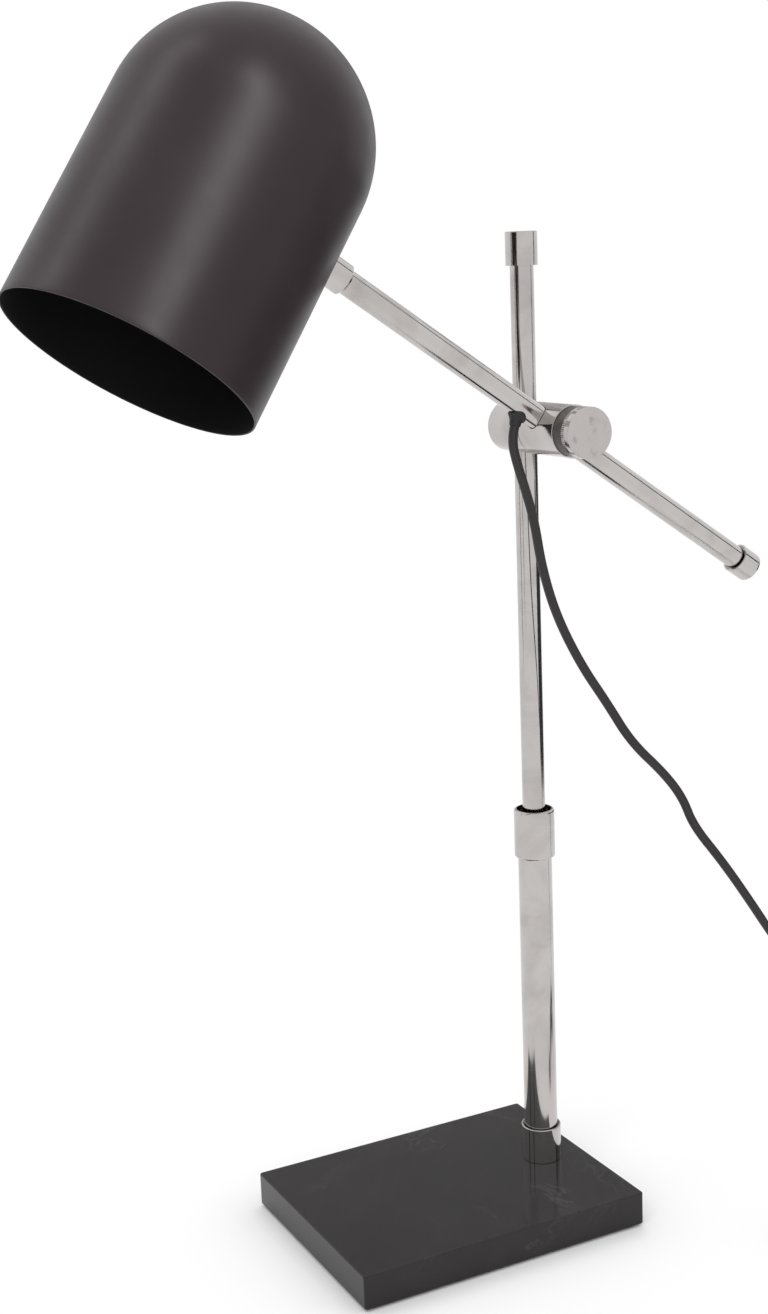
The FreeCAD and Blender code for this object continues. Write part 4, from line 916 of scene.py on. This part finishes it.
@dataclass
class Plug:
    """Moulded plug: rounded sections from the cord's sleeve to the wide grip and the pins' face."""

    paint: Paintbox
    cord_end: Point = (0.1970, -0.1291, 0.0070)
    stations: tuple[tuple[float, float, float], ...] = (
        (0.0, 3.2, 3.2), (13.0, 4.4, 4.6), (19.5, 17.0, 6.6), (22.0, 17.5, 7.0),
        (27.0, 17.0, 7.0), (33.0, 13.6, 6.4), (34.0, 12.6, 5.6),
    )
    squareness: float = 3.4
    squared_over: tuple[float, float] = (8.0, 20.0)
    rings: tuple[float, float] = (2.0, 11.5)
    ring_pitch: float = 1.9
    ring_depth: float = 0.3
    ridges: tuple[float, float] = (20.5, 28.0)
    ridge_pitch: float = 1.5
    ridge_depth: float = 0.22

    def sections(self, rows: int = 136, columns: int = 96) -> np.ndarray:
        """Grid of superellipses |y/w|^n + |z/h|^n = 1, with w and h eased between the stations.

        The neck's rings and the grip's ridges are cosines of the length taken off the section.

        Args:
            rows: sections along the plug.
            columns: points round each section.

        Returns:
            Array of points in the row's frame.
        """
        s = np.linspace(0, self.stations[-1][0], rows + 1)
        half = eased(np.array(self.stations), s)
        neck = (s > self.rings[0]) & (s < self.rings[1])
        grip = (s > self.ridges[0]) & (s < self.ridges[1])
        ring = 2 * math.pi * (s - self.rings[0]) / self.ring_pitch
        ridge = 2 * math.pi * (s - self.ridges[0]) / self.ridge_pitch
        cut = self.ring_depth * neck * (1 - np.cos(ring))
        cut = cut + self.ridge_depth * grip * (1 - np.cos(ridge))
        angle = np.arange(columns) * 2 * math.pi / columns
        first, last = self.squared_over
        squared = np.clip((s - first) / (last - first), 0, 1)
        power = 2 / (2 + (self.squareness - 2) * squared)
        unit = [np.cos(angle)[None], np.sin(angle)[None]]
        across, up = (np.sign(u) * np.abs(u) ** power[:, None] for u in unit)
        wide, high = (half - cut[:, None] * (0.0, 1.0) - (cut * neck)[:, None] * (1.0, 0.0)).T
        grid = np.stack([0 * across - s[:, None], -wide[:, None] * across, high[:, None] * up], -1)
        return np.array(self.cord_end) + grid * MM

    def build(self) -> bpy.types.Object:
        """Builds the plug's skin; its pins are the CAD's."""
        piece = Skin("plug_moulding", self.sections()).build()
        self.paint.dress(piece, "black_plastic")
        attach(piece, "base")
        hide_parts("plug_body")
        return piece


# ---- Shade ----
@dataclass
class ShadeShell:
    """Spun shade: a half ball on a cylinder, open below, with a rounded lip."""

    paint: Paintbox
    radius: float = 0.065
    wall: float = 0.001
    skirt: float = 0.1178
    pole_radius: float = 1e-5
    pole_steps: int = 48
    skirt_rows: int = 40
    lip_steps: int = 9
    columns: int = 160

    def profile(self) -> np.ndarray:
        """(radius, height) points: along the ball, up the skirt, over the lip and back inside."""
        quarter = np.linspace(0, math.pi / 2, self.pole_steps + 1)
        outer = np.stack([self.radius * np.sin(quarter), -self.radius * np.cos(quarter)], axis=-1)
        bore = self.radius - self.wall
        inner = np.stack([bore * np.sin(quarter), -bore * np.cos(quarter)], axis=-1)
        outer[0, 0] = inner[0, 0] = self.pole_radius
        heights = np.linspace(0, self.skirt - self.wall / 2, self.skirt_rows + 1)[1:]
        up = np.stack([0 * heights + self.radius, heights], axis=-1)
        down = np.stack([0 * heights + bore, heights], axis=-1)[::-1]
        turn = np.linspace(0, math.pi, self.lip_steps)[1:-1]
        half = self.wall / 2
        middle = self.radius - half
        lip = np.stack(
            [middle + half * np.cos(turn), self.skirt - half + half * np.sin(turn)], axis=-1
        )
        return np.concatenate([outer, up, lip, down, inner[::-1]])

    def build(self) -> None:
        """Builds the shade and hides its plain solid."""
        piece = turned("shade_shell", self.profile(), SHADE, self.columns)
        self.paint.dress(piece, "shade_paint")
        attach(piece, "arm")
        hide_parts("shade")


# ---- CAD nodes ----
@dataclass
class CarriedOver:
    """The CAD nodes whose shape is right: each gets its slot's finish, or its group's own."""

    paint: Paintbox
    own: dict[str, str] = field(
        default_factory=lambda: {
            "arm_tube": "nickel_arm", "tail_cap": "nickel_arm", "arm_collar": "nickel_arm",
            "rear_block": "nickel_hub", "front_block": "nickel_hub", "clamp_knob": "knob_nickel",
            "shade": "shade_paint",
        }
    )

    def build(self) -> None:
        """Dresses every node."""
        for part in frame["record"]["subparts"]:
            node = part["node"]
            self.paint.dress_node(node, self.own.get(node, part["material_slot"]))
        LOG.info("nodes dressed: %d", len(frame["nodes"]))


# ---- Studio ----
def facing(position: Point, aim: Point) -> Matrix:
    """Matrix that stands at a position with its -Z towards the aim and its Y up."""
    towards = (Vector(aim) - Vector(position)).to_track_quat("-Z", "Y")
    return Matrix.Translation(position) @ towards.to_matrix().to_4x4()


@dataclass(frozen=True)
class Panel:
    """A soft lamp; with only, it lights those pieces and shows in them, and otherwise it doesn't
    show in polished metal, which mirrors the white surround."""

    name: str
    position: Point
    size: tuple[float, float]
    power: float
    only: tuple[str, ...] = ()

    def build(self, aim: Point) -> None:
        """Builds the lamp facing the aim."""
        data = bpy.data.lights.new(self.name, "AREA")
        data.shape = "RECTANGLE"
        data.size, data.size_y = self.size
        data.energy = self.power
        lamp = bpy.data.objects.new(self.name, data)
        lamp.matrix_world = facing(self.position, aim)
        bpy.context.scene.collection.objects.link(lamp)
        if self.only:
            lit = bpy.data.collections.new(self.name)
            for name in self.only:
                lit.objects.link(bpy.data.objects[name])
            lamp.light_linking.receiver_collection = lit
        else:
            lamp.visible_glossy = False


@dataclass(frozen=True)
class Card:
    """A dark or grey card that only reflections see: thin lines in polished metal, and an even
    ground in the stone's top."""

    name: str
    position: Point
    width: float
    height: float
    tone: float = 0.02

    def build(self, aim: Point) -> None:
        """Builds the card as one rectangle facing the aim."""
        corners = np.array([(-1, -1), (1, -1), (1, 1), (-1, 1)]) / 2 * (self.width, self.height)
        turn = np.array(facing(self.position, aim))
        points = np.c_[corners, np.zeros(4), np.ones(4)] @ turn.T
        mesh = bpy.data.meshes.new(self.name)
        mesh.from_pydata(points[:, :3].tolist(), [], [list(range(4))])
        look = Shader(self.name)
        look.set(Base_Color=(self.tone,) * 3, Roughness=1.0, Specular_IOR_Level=0.0)
        mesh.materials.append(look.material)
        card = bpy.data.objects.new(self.name, mesh)
        bpy.context.scene.collection.objects.link(card)
        card.visible_camera = card.visible_diffuse = card.visible_shadow = False
        card.visible_transmission = False


@dataclass
class Studio:
    """Pale floor, white surround and soft lamps."""

    floor_radius: float = 6.0
    floor_sides: int = 96
    floor_colour: Colour = (0.96, 0.96, 0.96)
    fade: tuple[float, float] = (0.15, 0.75)
    world_level: float = 0.72
    panels: tuple[Panel, ...] = (
        Panel("key", (-1.5, -1.7, 1.9), (2.0, 2.0), 21.0),
        Panel("fill", (1.7, -1.0, 1.1), (1.6, 1.6), 6.0),
        Panel("top", (0.1, 0.5, 2.4), (2.2, 2.2), 16.0),
        Panel("strip_front", (-0.12, -1.38, 1.42), (0.36, 1.5), 19.0, only=("shade_shell",)),
        Panel("strip_side", (-1.08, 0.46, 1.89), (0.4, 1.5), 7.0, only=("shade_shell",)),
    )
    cards: tuple[Card, ...] = (
        Card("card_left", (-1.46, 0.47, 0.35), 0.14, 2.6),
        Card("card_right", (1.45, -0.56, 0.35), 0.20, 2.6),
        Card("card_turned", (-1.79, -0.43, 0.45), 0.12, 1.8),
        Card("card_back", (1.01, 1.87, 1.11), 1.5, 0.95, 0.52),
        Card("card_low", (0.80, -0.10, 0.22), 0.9, 0.36, 0.05),
    )
    aim: Point = (0.0, 0.0, 0.35)

    def build(self) -> None:
        """Builds the floor, the world, the lamps and the cards."""
        self._floor()
        self._world()
        for panel in self.panels:
            panel.build(self.aim)
        for card in self.cards:
            card.build(self.aim)
        bpy.context.scene.view_settings.view_transform = "Standard"

    def _floor(self) -> None:
        """Disc whose far part shines white to the camera, so that it meets the white surround."""
        angle = np.arange(self.floor_sides) * 2 * math.pi / self.floor_sides
        rim = np.stack([np.cos(angle), np.sin(angle), 0 * angle], axis=-1) * self.floor_radius
        mesh = bpy.data.meshes.new("floor")
        mesh.from_pydata(rim.tolist(), [], [list(range(self.floor_sides))])
        floor = bpy.data.objects.new("floor", mesh)
        bpy.context.scene.collection.objects.link(floor)
        look = Shader("floor")
        look.set(Roughness=0.9, Specular_IOR_Level=0.1, Base_Color=self.floor_colour)
        distance = look.vector("LENGTH", look.where, np.zeros(3)).outputs["Value"]
        near, far = self.fade
        share = look.maths("DIVIDE", look.maths("SUBTRACT", distance, near), far - near)
        share.node.use_clamp = True
        glow = look.nodes.new("ShaderNodeEmission")
        blend = look.nodes.new("ShaderNodeMixShader")
        look.links.new(look.maths("MULTIPLY", share, self._seen(look)), blend.inputs[0])
        look.links.new(look.surface.outputs[0], blend.inputs[1])
        look.links.new(glow.outputs[0], blend.inputs[2])
        look.links.new(blend.outputs[0], look.nodes["Material Output"].inputs["Surface"])
        floor.data.materials.append(look.material)

    @staticmethod
    def _seen(look: Shader) -> bpy.types.NodeSocket:
        """1 for a ray from the camera, a reflection or a transmission, and 0 otherwise."""
        path = look.nodes.new("ShaderNodeLightPath")
        mirrored = look.maths(
            "MAXIMUM", path.outputs["Is Glossy Ray"], path.outputs["Is Transmission Ray"]
        )
        return look.maths("MAXIMUM", path.outputs["Is Camera Ray"], mirrored)

    def _world(self) -> None:
        """White to the camera and in reflections, and a plain level of light otherwise."""
        world = bpy.data.worlds.new("surround")
        world.use_nodes = True
        bpy.context.scene.world = world
        nodes, links = world.node_tree.nodes, world.node_tree.links
        path = nodes.new("ShaderNodeLightPath")
        first, second = nodes.new("ShaderNodeMath"), nodes.new("ShaderNodeMath")
        first.operation = second.operation = "MAXIMUM"
        links.new(path.outputs["Is Glossy Ray"], first.inputs[0])
        links.new(path.outputs["Is Transmission Ray"], first.inputs[1])
        links.new(first.outputs[0], second.inputs[0])
        links.new(path.outputs["Is Camera Ray"], second.inputs[1])
        level = nodes.new("ShaderNodeMapRange")
        level.inputs["To Min"].default_value = self.world_level
        level.inputs["To Max"].default_value = 1.0
        links.new(second.outputs[0], level.inputs["Value"])
        background = nodes["Background"]
        background.inputs["Color"].default_value = (1, 1, 1, 1)
        links.new(level.outputs[0], background.inputs["Strength"])


@dataclass
class PhotoCamera:
    """Camera at the photograph's angle, fitted to the object's edges."""

    azimuth: float = -26.989
    down: float = 11.67
    roll: float = -2.232
    position: Point = (-0.46724, -0.86310, 0.52965)
    focal_pixels: float = 1868.8
    image_height: float = 1314.0
    sensor: float = 36.0

    def build(self) -> None:
        """Places the camera: its back direction is (sin a cos e, -cos a cos e, sin e), and its
        right and up are turned by the roll about it."""
        turn, tilt, roll = map(math.radians, (self.azimuth, self.down, self.roll))
        back = np.array(
            [math.sin(turn) * math.cos(tilt), -math.cos(turn) * math.cos(tilt), math.sin(tilt)]
        )
        right = np.array([math.cos(turn), math.sin(turn), 0.0])
        up = np.cross(back, right)
        across = math.cos(roll) * right + math.sin(roll) * up
        upward = math.cos(roll) * up - math.sin(roll) * right
        data = bpy.data.cameras.new("camera")
        data.sensor_width = self.sensor
        data.lens = self.focal_pixels / self.image_height * self.sensor
        data.clip_start, data.clip_end = 0.01, 100.0
        camera = bpy.data.objects.new("camera", data)
        axes = Matrix(np.array([across, upward, back]).T.tolist()).to_4x4()
        camera.matrix_world = Matrix.Translation(self.position) @ axes
        bpy.context.scene.collection.objects.link(camera)
        bpy.context.scene.camera = camera


def main() -> None:
    """Builds the camera, the cords, the other pieces and the studio in order."""
    logging.basicConfig(level=logging.INFO, format="%(message)s")
    PhotoCamera().build()
    paint = Paintbox()
    paint.mix()
    CarriedOver(paint).build()
    MainsCord(paint).build()
    Grommet(paint).build()
    ShadeShell(paint).build()
    Studio().build()


if __name__ == "__main__":
    main()
